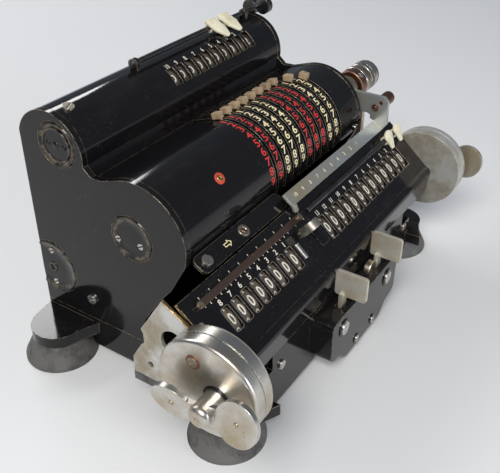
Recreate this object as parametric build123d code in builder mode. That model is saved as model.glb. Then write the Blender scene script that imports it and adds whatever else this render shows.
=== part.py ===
from build123d import *
import math
import os

os.makedirs("parts", exist_ok=True)

# A hand-cranked pinwheel calculator, in millimetres.
# +X runs to the operator's right, +Y away from the operator, +Z up.
# The origin lies on the table, midway between the four feet.
# Places in the side view are written (y, z).

# ---------------------------------------------------------------- driving dimensions
column_pitch = 7.0
column_count = 10
column_1_x = 54.6
counter_count = 8
product_count = 13
carriage_shift = 4 * column_pitch
product_1_x = column_1_x + carriage_shift
counter_8_x = -81.6

case_half_width = 79.0
plate_thickness = 3.0
sheet = 1.5
slide_gap = 0.3
running_gap = 0.05

# side view of the case
case_rear_y = 64.2
seam_z = 19.9
drum_y, drum_z = 1.7, 78.6
drum_cover_radius = 25.6
register_y, register_z = 46.7, 105.7
register_radius = 18.5
cover_step = 0.2
plate_front = [(-14.9, 57.0), (-7.9, 48.7), (2.0, 33.0), (2.0, seam_z)]
notch = [(28.4, 103.0), (24.5, 99.6), (19.0, 99.8), (9.0, 103.1)]

# base and feet
base_bottom_z = 3.2
base_wall = 3.0
base_front_y = -59.3
base_front_top_z = 34.5
base_corner_x, base_corner_z = case_half_width - 11.0, 26.1
foot_overhang = 9.6
foot_x, foot_y = case_half_width + foot_overhang, 49.3
foot_radius = 17.4
foot_top_radius = 12.4
foot_rim = 1.5
ear_radius = 12.8
ear_low_z, ear_high_z = 11.5, 17.5
ear_web = 19.0
foot_plug_radius = 3.0

# crank, drum and setting levers
shaft_radius = 4.0
pinwheel_radius = 21.5
pinwheel_width = 2.2
pinwheel_offset = 3.1
pinwheel_hub_radius = 8.0
pinwheel_hub_end = 2.8
pin_count = 9
pin_size = 1.4
pin_reach = 23.0
lever_blade = 1.4
lever_ring_radius = 12.0
lever_arm_width = 4.0
lever_tip_radius = 28.8
lever_tip_width = 3.8
lever_tip_length = 4.2
lever_zero_angle = 107.5
digit_angle = 11.25
settings = {1: 2, 2: 1}
slot_width = 2.0
tip_slot_width = 4.8
cover_front_angle = -14.0
cover_rear_angle = 114.0
comb_foot = (28.2, 96.3)
comb_back_radius = 29.3

sleeve_radius = 7.0
sleeve_end_x = case_half_width + 34.0
sleeve_flange_radius = 11.0
sleeve_flange = 1.2
crank_hub_radius = 8.6
crank_hub_start_x = sleeve_end_x + 3.0
crank_arm_x = crank_hub_start_x + 9.0
crank_arm_thickness = 4.0
crank_radius = 52.0
crank_arm_width = 12.0
cap_groove_end_x = crank_arm_x + 11.0
cap_end_x = cap_groove_end_x + 5.0
groove_depth = 0.7
grip_pin_radius = 2.5
grip_radius = 8.0
grip_length = 42.0

# clearing bail in front of the levers
bail_arm_x = case_half_width + 1.5
bail_thickness = 1.8
bail_ring_radius = 12.0
bail_strip_left_x = -15.0
bail_strip = [(-30.9, 78.0), (-36.3, 73.8)]
bail_strip_thickness = 1.3
bail_arm = [(1.7, 90.6), (-14.0, 92.6), (-36.0, 92.6), (-38.3, 90.3), (-38.8, 77.5),
            (-36.3, 73.8), (-30.9, 78.0), (-28.6, 79.0), (-28.6, 80.9), (-26.5, 81.8),
            (-12.0, 81.0), (1.7, 68.0)]
bail_knob_y, bail_knob_z = -34.3, 89.0
bail_knob_radius = 3.5
bail_knob_length = 9.0

# check register behind the levers
check_y, check_z = 42.4, 109.6
check_radius = 10.6
check_width = 5.4
check_shaft_radius = 3.0
check_window_angle = 46.0
check_window_height = 9.0
check_window_width = 4.8
skirt_foot = (26.2, 97.0)

# rear pointer rod with its thumb wing
rod_y, rod_z = 45.4, 127.4
rod_radius = 1.3
rod_left_x = -26.0
rod_bracket_x = [-23.0, case_half_width - 12.0]
rod_bracket_width = 2.0
rod_bracket_wall = 0.9
rod_end_x = case_half_width + 2.5
rod_wing_lobe = 4.4
rod_wing_reach = 4.3
rod_wing_thickness = 2.0
rear_marker_x = [38.0, 49.0]
marker_width = 6.0

# carriage in front of the drum, in the side view
slope_angle = 40.5
window_y, window_z = -48.0, 59.6
carriage_sheet = 1.6
carriage_left_x = -case_half_width - 19.9
carriage_right_x = case_half_width + 18.2
end_plate = 1.5
end_disc_radius = 21.7
carriage_top_y, carriage_shoulder_y = -33.8, -58.6
carriage_nose = (-61.7, 46.6)
carriage_foot = (-60.4, 36.5)
window_width = 5.0
counter_window_height = 11.0
product_window_height = 12.0
dial_depth = 11.5
dial_radius = 11.1
dial_width = window_width - 2 * slide_gap
dial_shaft_radius = 3.0
end_outline = [(-27.6, 71.6), (-15.6, 52.0), (-16.6, 50.2), (-16.9, 44.8), (-15.2, 43.6),
                  (-10.0, 34.7), (-9.6, 26.3), (-50.0, 26.3), (-57.0, 37.0), (-60.0, 46.6),
                  (-57.4, 49.6), (-40.5, 64.1)]
end_plate_hole = (-32.4, 51.9)
end_plate_hole_radius = 6.3
end_plate_eye = (-19.3, 34.4)
end_plate_eye_radius = 1.6
bar_front_y, bar_rear_y = -26.0, -9.6
bar_low_z, bar_high_z = 21.5, 26.3

# drums at the carriage ends and their wings
end_drum_y, end_drum_z = -56.0, 48.3
left_drum_radius = 22.8
right_drum_radius = 21.7
left_cup_depth = 10.9
right_cup_depth = 9.7
drum_wall = 1.5
drum_groove_from_back = 4.6
drum_groove = 0.5
wing_y, wing_z = -60.7, 47.2
wing_hub_radius = 4.9
wing_hub_length = 12.6
wing_plate = 2.2
wing_twist = 12.0
wing_set_back = 3.8
wing_lobe_radius = 9.3
wing_lobe_reach = 14.8
wing_waist = 8.0
wing_tilt = 10.0
wing_collar_radius = 8.0
wing_collar = 2.0
wing_dome = 2.5

# pointer strip and pointer rod on the carriage
rail_y = -38.5
strip_left_x, strip_right_x = carriage_left_x + 6.4, -13.0
strip_width = 3.2
strip_thickness = 1.2
front_rod_radius = 1.4
front_rod_height = 2.4
front_rod_x = (-9.0, carriage_right_x - 0.6)
front_rod_post = 2.4
front_marker_x = [79.4, 90.4]

# shift keys in front
box_x = -1.0
box_half_width = 35.0
box_front_y = -71.3
box_top_z = 32.5
box_step_z = 10.5
box_low_z = 2.6
box_lobe = 19.0
box_step = 25.0
box_wall = 2.0
box_corner = 4.0
key_pivot_x = [-24.5, 22.5]
key_pivot_z = 24.5
key_x = [-17.5, 20.5]
key_front_y, key_rear_y = -78.0, -62.0
key_low_z, key_high_z = 37.0, 50.5
key_thickness = 1.6
key_arm_y = -66.0
key_arm = 2.0
key_slot_width = 8.6
key_slot_y = (-67.5, -64.5)
key_pin_radius = 1.5

# release button on the carriage
button_x = -18.0
button_y = -43.3
button_width = 8.4
button_height = 8.0
button_stem = 4.0

# smaller pieces
cover_discs = [(42.5, 109.7, 10.5), (4.9, 76.2, 11.0), (56.7, 41.5, 14.0)]
disc_recess = 0.8
disc_thickness = 0.5
disc_screws = [[], [(7.7, -2.3), (-4.7, -2.1)], [(0.3, 9.0), (0.3, -9.0)]]
cap_screw = (5.5, 12.2)
shelf_left_x, shelf_right_x = 2.2 - case_half_width, -11.5
shelf_front_y, shelf_front_z = -32.4, 71.3
shelf_rear_y, shelf_rear_z = -24.4, 75.9
shelf_corner = 3.0
grip_neck_radius = 6.0
bail_pin_radius = 1.2
rod_collar = 1.0
rod_wing_tilt = 13.0
marker_sheet = 1.2
rear_marker_tip = (37.6, 123.6)
front_marker_reach = 9.0
button_lift = 3.0
button_depth = 4.0
key_eye = 4.5
screw_slot = 0.6


# ---------------------------------------------------------------- derived places
plate_inner_x = case_half_width - plate_thickness
cover_outer = drum_cover_radius - cover_step
cover_inner = cover_outer - sheet
register_outer = register_radius - cover_step
register_inner = register_outer - sheet
slope = math.radians(slope_angle)
slope_normal = (0, -math.sin(slope), math.cos(slope))
dial_y = window_y + dial_depth * math.sin(slope)
dial_z = window_z - dial_depth * math.cos(slope)
column_x = [column_1_x - column_pitch * k for k in range(column_count)]
counter_x = [counter_8_x + column_pitch * k for k in range(counter_count)]
product_x = [product_1_x - column_pitch * k for k in range(product_count)]
left_plate_x = carriage_left_x - end_plate
right_plate_x = carriage_right_x + end_plate
left_cap_x = left_plate_x - left_cup_depth
right_cap_x = right_plate_x + right_cup_depth
wing_spindle_radius = wing_hub_radius - 2.0
wing_end_x = left_cap_x - wing_hub_length
grip_start_x = crank_arm_x + crank_arm_thickness + 1.0
grip_end_x = grip_start_x + grip_length
pin_head = 1.2
machine_end_x = grip_end_x + running_gap + pin_head
rear_end_y = foot_y + foot_radius

rail_z = window_z + (rail_y - window_y) * math.tan(slope)
button_z = window_z + (button_y - window_y) * math.tan(slope)

# the part's own frame: the middle of the whole footprint, on the table
frame_x = (wing_end_x + machine_end_x) / 2
wing_lean_y = math.cos(math.radians(wing_tilt))
wing_twist_y = math.cos(math.radians(wing_twist)) * math.sin(math.radians(wing_tilt))
wing_front_y = (wing_y - wing_lobe_reach * wing_lean_y
                - wing_lobe_radius * math.hypot(wing_lean_y, wing_twist_y))
frame_y = (min(wing_front_y, key_front_y) + rear_end_y) / 2


def side_view(x):
    """Sketch plane across the machine at x: local (u, v) is (y, z)."""
    return Plane.YZ.offset(x)


def slope_plane(x, y, z, lift=0.0):
    """Sketch plane lying on the sloping carriage face, lifted off it."""
    origin = (x, y + lift * slope_normal[1], z + lift * slope_normal[2])
    return Plane(origin=origin, x_dir=(1, 0, 0), z_dir=slope_normal)


def slope_height(y):
    """Height of the sloping carriage face at a distance y."""
    return window_z + (y - window_y) * math.tan(slope)


def facing(x, y, z, normal, across):
    """Sketch plane at a point of a wall, looking out along its normal."""
    return Plane(origin=(x, y, z), x_dir=across, z_dir=normal)


def arc_point(centre, angle, radius):
    """(y, z) about a centre, the angle counted up from straight ahead."""
    turn = math.radians(angle)
    return (centre[0] - radius * math.cos(turn), centre[1] + radius * math.sin(turn))


def drum_point(angle, radius):
    return arc_point((drum_y, drum_z), angle, radius)


def register_point(angle, radius):
    return arc_point((register_y, register_z), angle, radius)


def on_arc(point, angle):
    """Sketch plane at x, y, z whose normal points away from an arc's centre."""
    turn = math.radians(angle)
    normal = (0, -math.cos(turn), math.sin(turn))
    return Plane(origin=point, x_dir=(1, 0, 0), z_dir=normal)


def finish(piece, name):
    """Shift a piece to the part's frame, label it and write it."""
    with BuildPart() as placed:
        with Locations((-frame_x, -frame_y, 0)):
            add(piece.part)
    placed.part.label = name
    export_step(placed.part, f"parts/{name}.step")


# ---------------------------------------------------------------- case
def make_base():
    """Cast tray with a front wall, a rail under the carriage and an ear over each foot."""
    depth = case_rear_y - base_front_y
    middle_y = (case_rear_y + base_front_y) / 2
    rail_top = bar_low_z - slide_gap
    with BuildPart() as base:
        with BuildSketch(Plane.XY.offset(base_bottom_z)):
            with Locations((0, middle_y)):
                Rectangle(2 * case_half_width, depth)
        extrude(amount=seam_z - base_bottom_z)
        with BuildSketch(Plane.XY.offset(base_bottom_z + base_wall)):
            with Locations((0, middle_y)):
                Rectangle(2 * (case_half_width - base_wall), depth - 2 * base_wall)
        extrude(amount=seam_z, mode=Mode.SUBTRACT)
        with BuildSketch(Plane.XY.offset(seam_z)):
            with Locations((0, base_front_y + base_wall / 2)):
                Rectangle(2 * case_half_width, base_wall)
        extrude(amount=base_front_top_z - seam_z)
        with BuildSketch(Plane.XY.offset(base_corner_z)):
            for side in (-1, 1):
                with Locations((side * (case_half_width + base_corner_x) / 2, base_front_y)):
                    Rectangle(case_half_width - base_corner_x, 2 * base_wall)
        extrude(amount=base_front_top_z, mode=Mode.SUBTRACT)
        with BuildSketch(Plane.XY.offset(base_bottom_z + base_wall)):
            with Locations((0, (bar_front_y + bar_rear_y) / 2)):
                Rectangle(2 * (case_half_width - base_wall), bar_rear_y - bar_front_y)
        extrude(amount=rail_top - base_bottom_z - base_wall)
        with BuildSketch(Plane.XY.offset(ear_low_z)):
            for side in (-1, 1):
                inner_x = side * (case_half_width - base_wall)
                for y in (-foot_y, foot_y):
                    with Locations((side * foot_x, y)):
                        Circle(ear_radius)
                    with BuildLine():
                        Polyline((inner_x, y - ear_web), (side * foot_x, y - ear_radius),
                                 (side * foot_x, y + ear_radius),
                                 (inner_x, min(y + ear_web, case_rear_y)), close=True)
                    make_face()
        extrude(amount=ear_high_z - ear_low_z)
        with Locations((0, 0, foot_rim)):
            with GridLocations(2 * foot_x, 2 * foot_y, 2, 2):
                Cone(foot_radius + slide_gap, foot_top_radius + slide_gap,
                     ear_low_z - foot_rim, align=(Align.CENTER, Align.CENTER, Align.MIN),
                     mode=Mode.SUBTRACT)
        with BuildSketch(Plane.XY.offset(ear_low_z)):
            with GridLocations(2 * foot_x, 2 * foot_y, 2, 2):
                Circle(foot_plug_radius)
        extrude(amount=ear_high_z - ear_low_z - 2 * sheet, mode=Mode.SUBTRACT)
    finish(base, "base_frame")


def make_feet():
    """Four rubber skirts, each with a plug pressed up into its ear."""
    with BuildPart() as pad:
        with BuildSketch(Plane.XZ):
            with BuildLine():
                Polyline((0, 0), (foot_radius, 0), (foot_radius, foot_rim),
                         (foot_top_radius, ear_low_z), (foot_plug_radius, ear_low_z),
                         (foot_plug_radius, ear_high_z - 2 * sheet),
                         (0, ear_high_z - 2 * sheet), close=True)
            make_face()
        revolve(axis=Axis.Z)
    with BuildPart() as pads:
        with GridLocations(2 * foot_x, 2 * foot_y, 2, 2):
            add(pad.part)
    finish(pads, "foot_pads")


def side_outline():
    """Line of a side plate: straight back, register hump, valley, drum hump, slope."""
    rear_top = register_z + math.sqrt(register_radius**2 - (case_rear_y - register_y)**2)
    front_top = drum_point(cover_front_angle, drum_cover_radius)
    with BuildLine() as outline:
        Polyline(plate_front[-1], (case_rear_y, seam_z), (case_rear_y, rear_top))
        ThreePointArc((case_rear_y, rear_top), (register_y, register_z + register_radius),
                      notch[0])
        Polyline(*notch)
        ThreePointArc(notch[-1], drum_point(45, drum_cover_radius), front_top)
        Polyline(front_top, *plate_front)
    return outline.edges()


def make_side_plates():
    """Left plate with three shallow pockets for cover discs, right plate with the sleeve hole."""
    with BuildPart() as left:
        with BuildSketch(side_view(-case_half_width)):
            make_face(side_outline())
        extrude(amount=plate_thickness)
        with BuildSketch(side_view(-case_half_width)):
            for y, z, radius in cover_discs:
                with Locations((y, z)):
                    Circle(radius + cover_step / 2)
        extrude(amount=disc_recess, mode=Mode.SUBTRACT)
        with BuildSketch(side_view(-case_half_width)):
            with Locations((drum_y, drum_z)):
                Circle(shaft_radius + running_gap)
            with Locations((check_y, check_z)):
                Circle(check_shaft_radius)
        extrude(amount=plate_thickness, mode=Mode.SUBTRACT)
    finish(left, "left_side_plate")
    with BuildPart() as right:
        with BuildSketch(side_view(plate_inner_x)):
            make_face(side_outline())
            with Locations((drum_y, drum_z)):
                Circle(sleeve_radius, mode=Mode.SUBTRACT)
            with Locations((check_y, check_z)):
                Circle(check_shaft_radius, mode=Mode.SUBTRACT)
        extrude(amount=plate_thickness)
    finish(right, "right_side_plate")


def make_bearing_covers():
    """Thin discs let into the left plate over the shaft ends."""
    with BuildPart() as discs:
        with BuildSketch(side_view(-case_half_width + disc_recess - disc_thickness)):
            for y, z, radius in cover_discs:
                with Locations((y, z)):
                    Circle(radius)
            with Locations((case_rear_y + cover_discs[-1][2], cover_discs[-1][1])):
                Rectangle(2 * cover_discs[-1][2], 3 * cover_discs[-1][2], mode=Mode.SUBTRACT)
        extrude(amount=disc_thickness)
    finish(discs, "bearing_covers")


def make_drum_cover():
    """Slotted half shell over the drum, joined behind by a notched strip to the register."""
    inner_front = drum_point(cover_front_angle, cover_inner)
    outer_front = drum_point(cover_front_angle, cover_outer)
    inner_rear = drum_point(cover_rear_angle, cover_inner)
    outer_rear = drum_point(cover_rear_angle, cover_outer)
    length = 2 * plate_inner_x
    with BuildPart() as cover:
        with BuildSketch(side_view(-plate_inner_x)):
            with BuildLine():
                ThreePointArc(inner_front, drum_point(50, cover_inner), inner_rear)
                Polyline(inner_rear, (comb_foot[0], comb_foot[1] - sheet), comb_foot, outer_rear)
                ThreePointArc(outer_rear, drum_point(50, cover_outer), outer_front)
                Line(outer_front, inner_front)
            make_face()
        extrude(amount=length)
        for x in column_x:
            with BuildSketch(side_view(x - slot_width / 2)):
                with Locations((drum_y, drum_z)):
                    Circle(lever_tip_radius)
            extrude(amount=slot_width, mode=Mode.SUBTRACT)
            with BuildSketch(side_view(x - tip_slot_width / 2)):
                with BuildLine():
                    Line((drum_y, drum_z), drum_point(cover_rear_angle, comb_back_radius))
                    ThreePointArc(drum_point(cover_rear_angle, comb_back_radius),
                                  drum_point(cover_rear_angle + 20, comb_back_radius),
                                  drum_point(cover_rear_angle + 40, comb_back_radius))
                    Line(drum_point(cover_rear_angle + 40, comb_back_radius), (drum_y, drum_z))
                make_face()
            extrude(amount=tip_slot_width, mode=Mode.SUBTRACT)
    finish(cover, "drum_cover")


def make_register_cover():
    """Bent sheet over the check register that runs down as the rear wall."""
    front_angle = -8.4
    overhang = case_rear_y - cover_step - register_y
    rear_angle = 180 - math.degrees(math.acos(overhang / register_outer))
    rear_outer = register_point(rear_angle, register_outer)
    rear_inner = register_point(rear_angle, register_inner)
    with BuildPart() as cover:
        with BuildSketch(side_view(-plate_inner_x)):
            with BuildLine():
                Line(skirt_foot, register_point(front_angle, register_outer))
                ThreePointArc(register_point(front_angle, register_outer),
                              register_point(80, register_outer), rear_outer)
                Polyline(rear_outer, (rear_outer[0], seam_z), (rear_inner[0], seam_z), rear_inner)
                ThreePointArc(rear_inner, register_point(80, register_inner),
                              register_point(front_angle, register_inner))
                Polyline(register_point(front_angle, register_inner),
                         (skirt_foot[0] + sheet, skirt_foot[1]), skirt_foot)
            make_face()
        extrude(amount=2 * plate_inner_x)
        for x in column_x:
            point = register_point(check_window_angle, register_outer)
            with BuildSketch(on_arc((x, *point), check_window_angle)):
                Rectangle(check_window_width, check_window_height)
            extrude(amount=-2 * sheet, mode=Mode.SUBTRACT)
    finish(cover, "register_cover")


def make_front_shelf():
    """Sloping plate in front of the drum cover, rounded at its left end."""
    rise = math.atan2(shelf_rear_z - shelf_front_z, shelf_rear_y - shelf_front_y)
    lean = (0, -math.sin(rise), math.cos(rise))
    width = math.hypot(shelf_rear_y - shelf_front_y, shelf_rear_z - shelf_front_z)
    middle = ((shelf_left_x + shelf_right_x) / 2, (shelf_front_y + shelf_rear_y) / 2,
              (shelf_front_z + shelf_rear_z) / 2)
    with BuildPart() as shelf:
        with BuildSketch(Plane(origin=middle, x_dir=(1, 0, 0), z_dir=lean)):
            RectangleRounded(shelf_right_x - shelf_left_x, width, shelf_corner)
        extrude(amount=-sheet)
    finish(shelf, "front_shelf")


def make_crank_sleeve():
    """Bearing tube of the drum shaft, flanged against the right plate."""
    with BuildPart() as sleeve:
        with BuildSketch(side_view(plate_inner_x)):
            with Locations((drum_y, drum_z)):
                Circle(sleeve_radius)
        extrude(amount=sleeve_end_x - plate_inner_x)
        with BuildSketch(side_view(case_half_width)):
            with Locations((drum_y, drum_z)):
                Circle(sleeve_flange_radius)
        extrude(amount=sleeve_flange)
        with BuildSketch(side_view(plate_inner_x)):
            with Locations((drum_y, drum_z)):
                Circle(shaft_radius + running_gap)
        extrude(amount=sleeve_end_x, mode=Mode.SUBTRACT)
    finish(sleeve, "crank_sleeve")


def make_check_shaft():
    with BuildPart() as shaft:
        with BuildSketch(side_view(-case_half_width + disc_recess)):
            with Locations((check_y, check_z)):
                Circle(check_shaft_radius)
        extrude(amount=2 * case_half_width - 2 * disc_recess)
    finish(shaft, "check_shaft")


def make_check_dials():
    """Ten number wheels behind the windows, each with raised rims."""
    for number, x in enumerate(column_x, start=1):
        with BuildPart() as dial:
            with BuildSketch(side_view(x - check_width / 2)):
                with Locations((check_y, check_z)):
                    Circle(check_radius)
                    Circle(check_shaft_radius + running_gap, mode=Mode.SUBTRACT)
            extrude(amount=check_width)
        finish(dial, f"check_dial_{number}")


# ---------------------------------------------------------------- drum, levers and crank
def make_pinwheel_drum():
    """Shaft with ten pinwheels, each with nine small pins at its rim."""
    with BuildPart() as drum:
        with BuildSketch(side_view(-case_half_width + disc_recess)):
            with Locations((drum_y, drum_z)):
                Circle(shaft_radius)
        extrude(amount=crank_arm_x + crank_arm_thickness + case_half_width - disc_recess)
        for x in column_x:
            with BuildSketch(side_view(x - pinwheel_hub_end)):
                with Locations((drum_y, drum_z)):
                    Circle(pinwheel_hub_radius)
            extrude(amount=column_pitch)
            with BuildSketch(side_view(x + pinwheel_offset - pinwheel_width / 2)):
                with Locations((drum_y, drum_z)):
                    Circle(pinwheel_radius)
                    with PolarLocations(pin_reach - pin_size, pin_count,
                                        start_angle=95, angular_range=digit_angle * pin_count):
                        Rectangle(2 * pin_size, pin_size)
            extrude(amount=pinwheel_width)
    finish(drum, "pinwheel_drum")


def make_levers():
    """Ten setting levers, each a ring with an arm out through its slot and a tip."""
    for number, x in enumerate(column_x, start=1):
        angle = lever_zero_angle - digit_angle * settings.get(number, 0)
        tilt = 180 - angle
        with BuildPart() as lever:
            with BuildSketch(side_view(x - lever_blade / 2)):
                with Locations((drum_y, drum_z)):
                    Circle(lever_ring_radius)
                with Locations(Location((drum_y, drum_z, 0), (0, 0, tilt))):
                    Rectangle(lever_tip_radius, lever_arm_width, align=(Align.MIN, Align.CENTER))
                with Locations((drum_y, drum_z)):
                    Circle(pinwheel_hub_radius + running_gap, mode=Mode.SUBTRACT)
            extrude(amount=lever_blade)
            with BuildSketch(side_view(x - lever_tip_width / 2)):
                with Locations(Location((drum_y, drum_z, 0), (0, 0, tilt))):
                    with Locations((drum_cover_radius + slide_gap, 0)):
                        Rectangle(lever_tip_radius - drum_cover_radius - slide_gap,
                                  lever_tip_length, align=(Align.MIN, Align.CENTER))
            extrude(amount=lever_tip_width)
        finish(lever, f"setting_lever_{number}")


def make_crank():
    """Hub on the shaft, a ringed and domed cap, a flat arm and the pin of the grip."""
    pin_y, pin_z = drum_y, drum_z - crank_radius
    with BuildPart() as crank:
        with BuildSketch(side_view(crank_hub_start_x)):
            with Locations((drum_y, drum_z)):
                Circle(crank_hub_radius)
        extrude(amount=crank_arm_x + crank_arm_thickness - crank_hub_start_x)
        with BuildSketch(side_view(crank_arm_x + crank_arm_thickness)):
            with Locations((drum_y, drum_z)):
                Circle(crank_hub_radius - groove_depth)
        extrude(amount=cap_end_x - crank_arm_x - crank_arm_thickness)
        with BuildSketch(side_view(cap_groove_end_x)):
            with Locations((drum_y, drum_z)):
                Circle(crank_hub_radius)
        extrude(amount=cap_end_x - cap_groove_end_x)
        fillet(crank.edges().group_by(Axis.X)[-1], (cap_end_x - cap_groove_end_x) / 2)
        with BuildSketch(side_view(crank_arm_x)):
            with Locations(((drum_y + pin_y) / 2, (drum_z + pin_z) / 2)):
                SlotCenterToCenter(crank_radius, crank_arm_width, rotation=90)
        extrude(amount=crank_arm_thickness)
        with BuildSketch(side_view(crank_arm_x)):
            with Locations((pin_y, pin_z)):
                Circle(grip_pin_radius)
        extrude(amount=grip_end_x + running_gap + pin_head - crank_arm_x)
        with BuildSketch(side_view(grip_end_x + running_gap)):
            with Locations((pin_y, pin_z)):
                Circle(2 * grip_pin_radius)
        extrude(amount=pin_head)
        with BuildSketch(side_view(crank_hub_start_x)):
            with Locations((drum_y, drum_z)):
                Circle(shaft_radius)
        extrude(amount=crank_arm_x + crank_arm_thickness - crank_hub_start_x, mode=Mode.SUBTRACT)
    finish(crank, "crank")


def make_grip():
    """Turned handle that spins on the crank pin."""
    pin_y, pin_z = drum_y, drum_z - crank_radius
    half = grip_length / 2
    with BuildPart() as grip:
        with BuildSketch(Plane(origin=(grip_start_x, pin_y, pin_z), x_dir=(1, 0, 0),
                               z_dir=(0, -1, 0))):
            with BuildLine():
                Line((0, grip_pin_radius + running_gap), (0, grip_neck_radius))
                ThreePointArc((0, grip_neck_radius), (half, grip_radius),
                              (grip_length, grip_neck_radius))
                Polyline((grip_length, grip_neck_radius),
                         (grip_length, grip_pin_radius + running_gap),
                         (0, grip_pin_radius + running_gap))
            make_face()
        revolve(axis=Axis((grip_start_x, pin_y, pin_z), (1, 0, 0)))
    finish(grip, "crank_grip")


# ---------------------------------------------------------------- clearing bail
def make_bail():
    """Arm on the sleeve with a long strip bent off it in front of the levers."""
    (inner_y, inner_z), (outer_y, outer_z) = bail_strip
    fall = math.atan2(inner_z - outer_z, inner_y - outer_y)
    drop_y, drop_z = bail_strip_thickness * math.sin(fall), bail_strip_thickness * math.cos(fall)
    with BuildPart() as bail:
        with BuildSketch(side_view(bail_arm_x)):
            with BuildLine():
                Polyline(*bail_arm, close=True)
            make_face()
            with Locations((drum_y, drum_z)):
                Circle(bail_ring_radius)
                Circle(sleeve_radius + running_gap, mode=Mode.SUBTRACT)
            with Locations((bail_knob_y, bail_knob_z)):
                Circle(bail_pin_radius, mode=Mode.SUBTRACT)
        extrude(amount=bail_thickness)
        with BuildSketch(side_view(bail_strip_left_x)):
            with BuildLine():
                Polyline((inner_y, inner_z), (outer_y, outer_z),
                         (outer_y + drop_y, outer_z - drop_z),
                         (inner_y + drop_y, inner_z - drop_z), close=True)
            make_face()
        extrude(amount=bail_arm_x + bail_thickness - bail_strip_left_x)
        with BuildSketch(side_view(bail_strip_left_x)):
            with BuildLine():
                Polyline((outer_y, outer_z), (outer_y - sheet, outer_z - 2 * sheet),
                         (outer_y, outer_z - 2 * sheet),
                         (outer_y + drop_y, outer_z - drop_z), close=True)
            make_face()
        extrude(amount=2 * sheet)
    finish(bail, "clearing_bail")
    with BuildPart() as knob:
        with BuildSketch(side_view(bail_arm_x + bail_thickness)):
            with Locations((bail_knob_y, bail_knob_z)):
                Circle(bail_knob_radius)
        extrude(amount=bail_knob_length)
        fillet(knob.edges().group_by(Axis.X)[-1], sheet)
        with BuildSketch(side_view(bail_arm_x)):
            with Locations((bail_knob_y, bail_knob_z)):
                Circle(bail_pin_radius)
        extrude(amount=bail_thickness)
    finish(knob, "bail_knob")


# ---------------------------------------------------------------- rear pointer rod
def make_rod_brackets():
    """Two small posts that carry the rod over the register cover."""
    foot_z = register_z + math.sqrt(register_outer**2 - (rod_y - register_y)**2)
    half = rod_radius + rod_bracket_wall
    with BuildPart() as brackets:
        for x in rod_bracket_x:
            with BuildSketch(side_view(x - rod_bracket_width / 2)):
                with Locations((rod_y, rod_z)):
                    Circle(half)
                with Locations((rod_y, (rod_z + foot_z) / 2)):
                    Rectangle(2 * half, rod_z - foot_z)
                with Locations((register_y, register_z)):
                    Circle(register_outer, mode=Mode.SUBTRACT)
                with Locations((rod_y, rod_z)):
                    Circle(rod_radius + running_gap, mode=Mode.SUBTRACT)
            extrude(amount=rod_bracket_width)
    finish(brackets, "rod_brackets")


def make_rear_rod():
    """Thin rod with collars at its brackets and a two-lobed wing at the right end."""
    lean = math.radians(rod_wing_tilt)
    with BuildPart() as rod:
        with BuildSketch(side_view(rod_left_x)):
            with Locations((rod_y, rod_z)):
                Circle(rod_radius)
        extrude(amount=rod_end_x - rod_left_x)
        for x in (rod_bracket_x[0] - rod_bracket_width / 2 - rod_collar - running_gap,
                  rod_bracket_x[1] + rod_bracket_width / 2 + running_gap):
            with BuildSketch(side_view(x)):
                with Locations((rod_y, rod_z)):
                    Circle(rod_radius + rod_bracket_wall)
            extrude(amount=rod_collar)
        with BuildSketch(side_view(rod_end_x - rod_wing_thickness)):
            for side in (-1, 1):
                with Locations((rod_y + side * rod_wing_reach * math.cos(lean),
                                rod_z - side * rod_wing_reach * math.sin(lean))):
                    Circle(rod_wing_lobe)
        extrude(amount=2 * rod_wing_thickness)
        with BuildSketch(side_view(rod_end_x + rod_wing_thickness)):
            with Locations((rod_y, rod_z)):
                Circle(rod_radius + sheet)
        extrude(amount=rod_wing_thickness)
    finish(rod, "rear_rod")


def make_rear_markers():
    """Two pointers that slide along the rear rod, their tips over the windows."""
    ring = rod_radius + running_gap
    for number, x in enumerate(rear_marker_x, start=1):
        with BuildPart() as marker:
            with BuildSketch(side_view(x - marker_width / 2)):
                with Locations((rod_y, rod_z)):
                    Circle(ring + marker_sheet)
                with BuildLine():
                    Polyline((rod_y, rod_z + ring + marker_sheet), rear_marker_tip,
                             (rear_marker_tip[0] + 0.4, rear_marker_tip[1] - marker_sheet),
                             (rod_y, rod_z - ring), close=True)
                make_face()
                with Locations((rod_y, rod_z)):
                    Circle(ring, mode=Mode.SUBTRACT)
            extrude(amount=marker_width)
        finish(marker, f"rear_marker_{number}")


# ---------------------------------------------------------------- carriage
def sloped_sheet():
    """Section of the carriage cover: sloping top, rounded nose, short front wall."""
    top = (carriage_top_y, slope_height(carriage_top_y))
    shoulder = (carriage_shoulder_y, slope_height(carriage_shoulder_y))
    nose, foot = carriage_nose, carriage_foot
    inward = (carriage_sheet * math.sin(slope), -carriage_sheet * math.cos(slope))
    with BuildLine() as section:
        Line(top, shoulder)
        ThreePointArc(shoulder, (nose[0] + 0.7, (shoulder[1] + nose[1]) / 2 + 0.6), nose)
        Polyline(nose, foot, (foot[0] + carriage_sheet, foot[1]),
                 (nose[0] + carriage_sheet, nose[1]),
                 (shoulder[0] + inward[0], shoulder[1] + inward[1]),
                 (top[0] + inward[0], top[1] + inward[1]), top)
    return section.edges()


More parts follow.
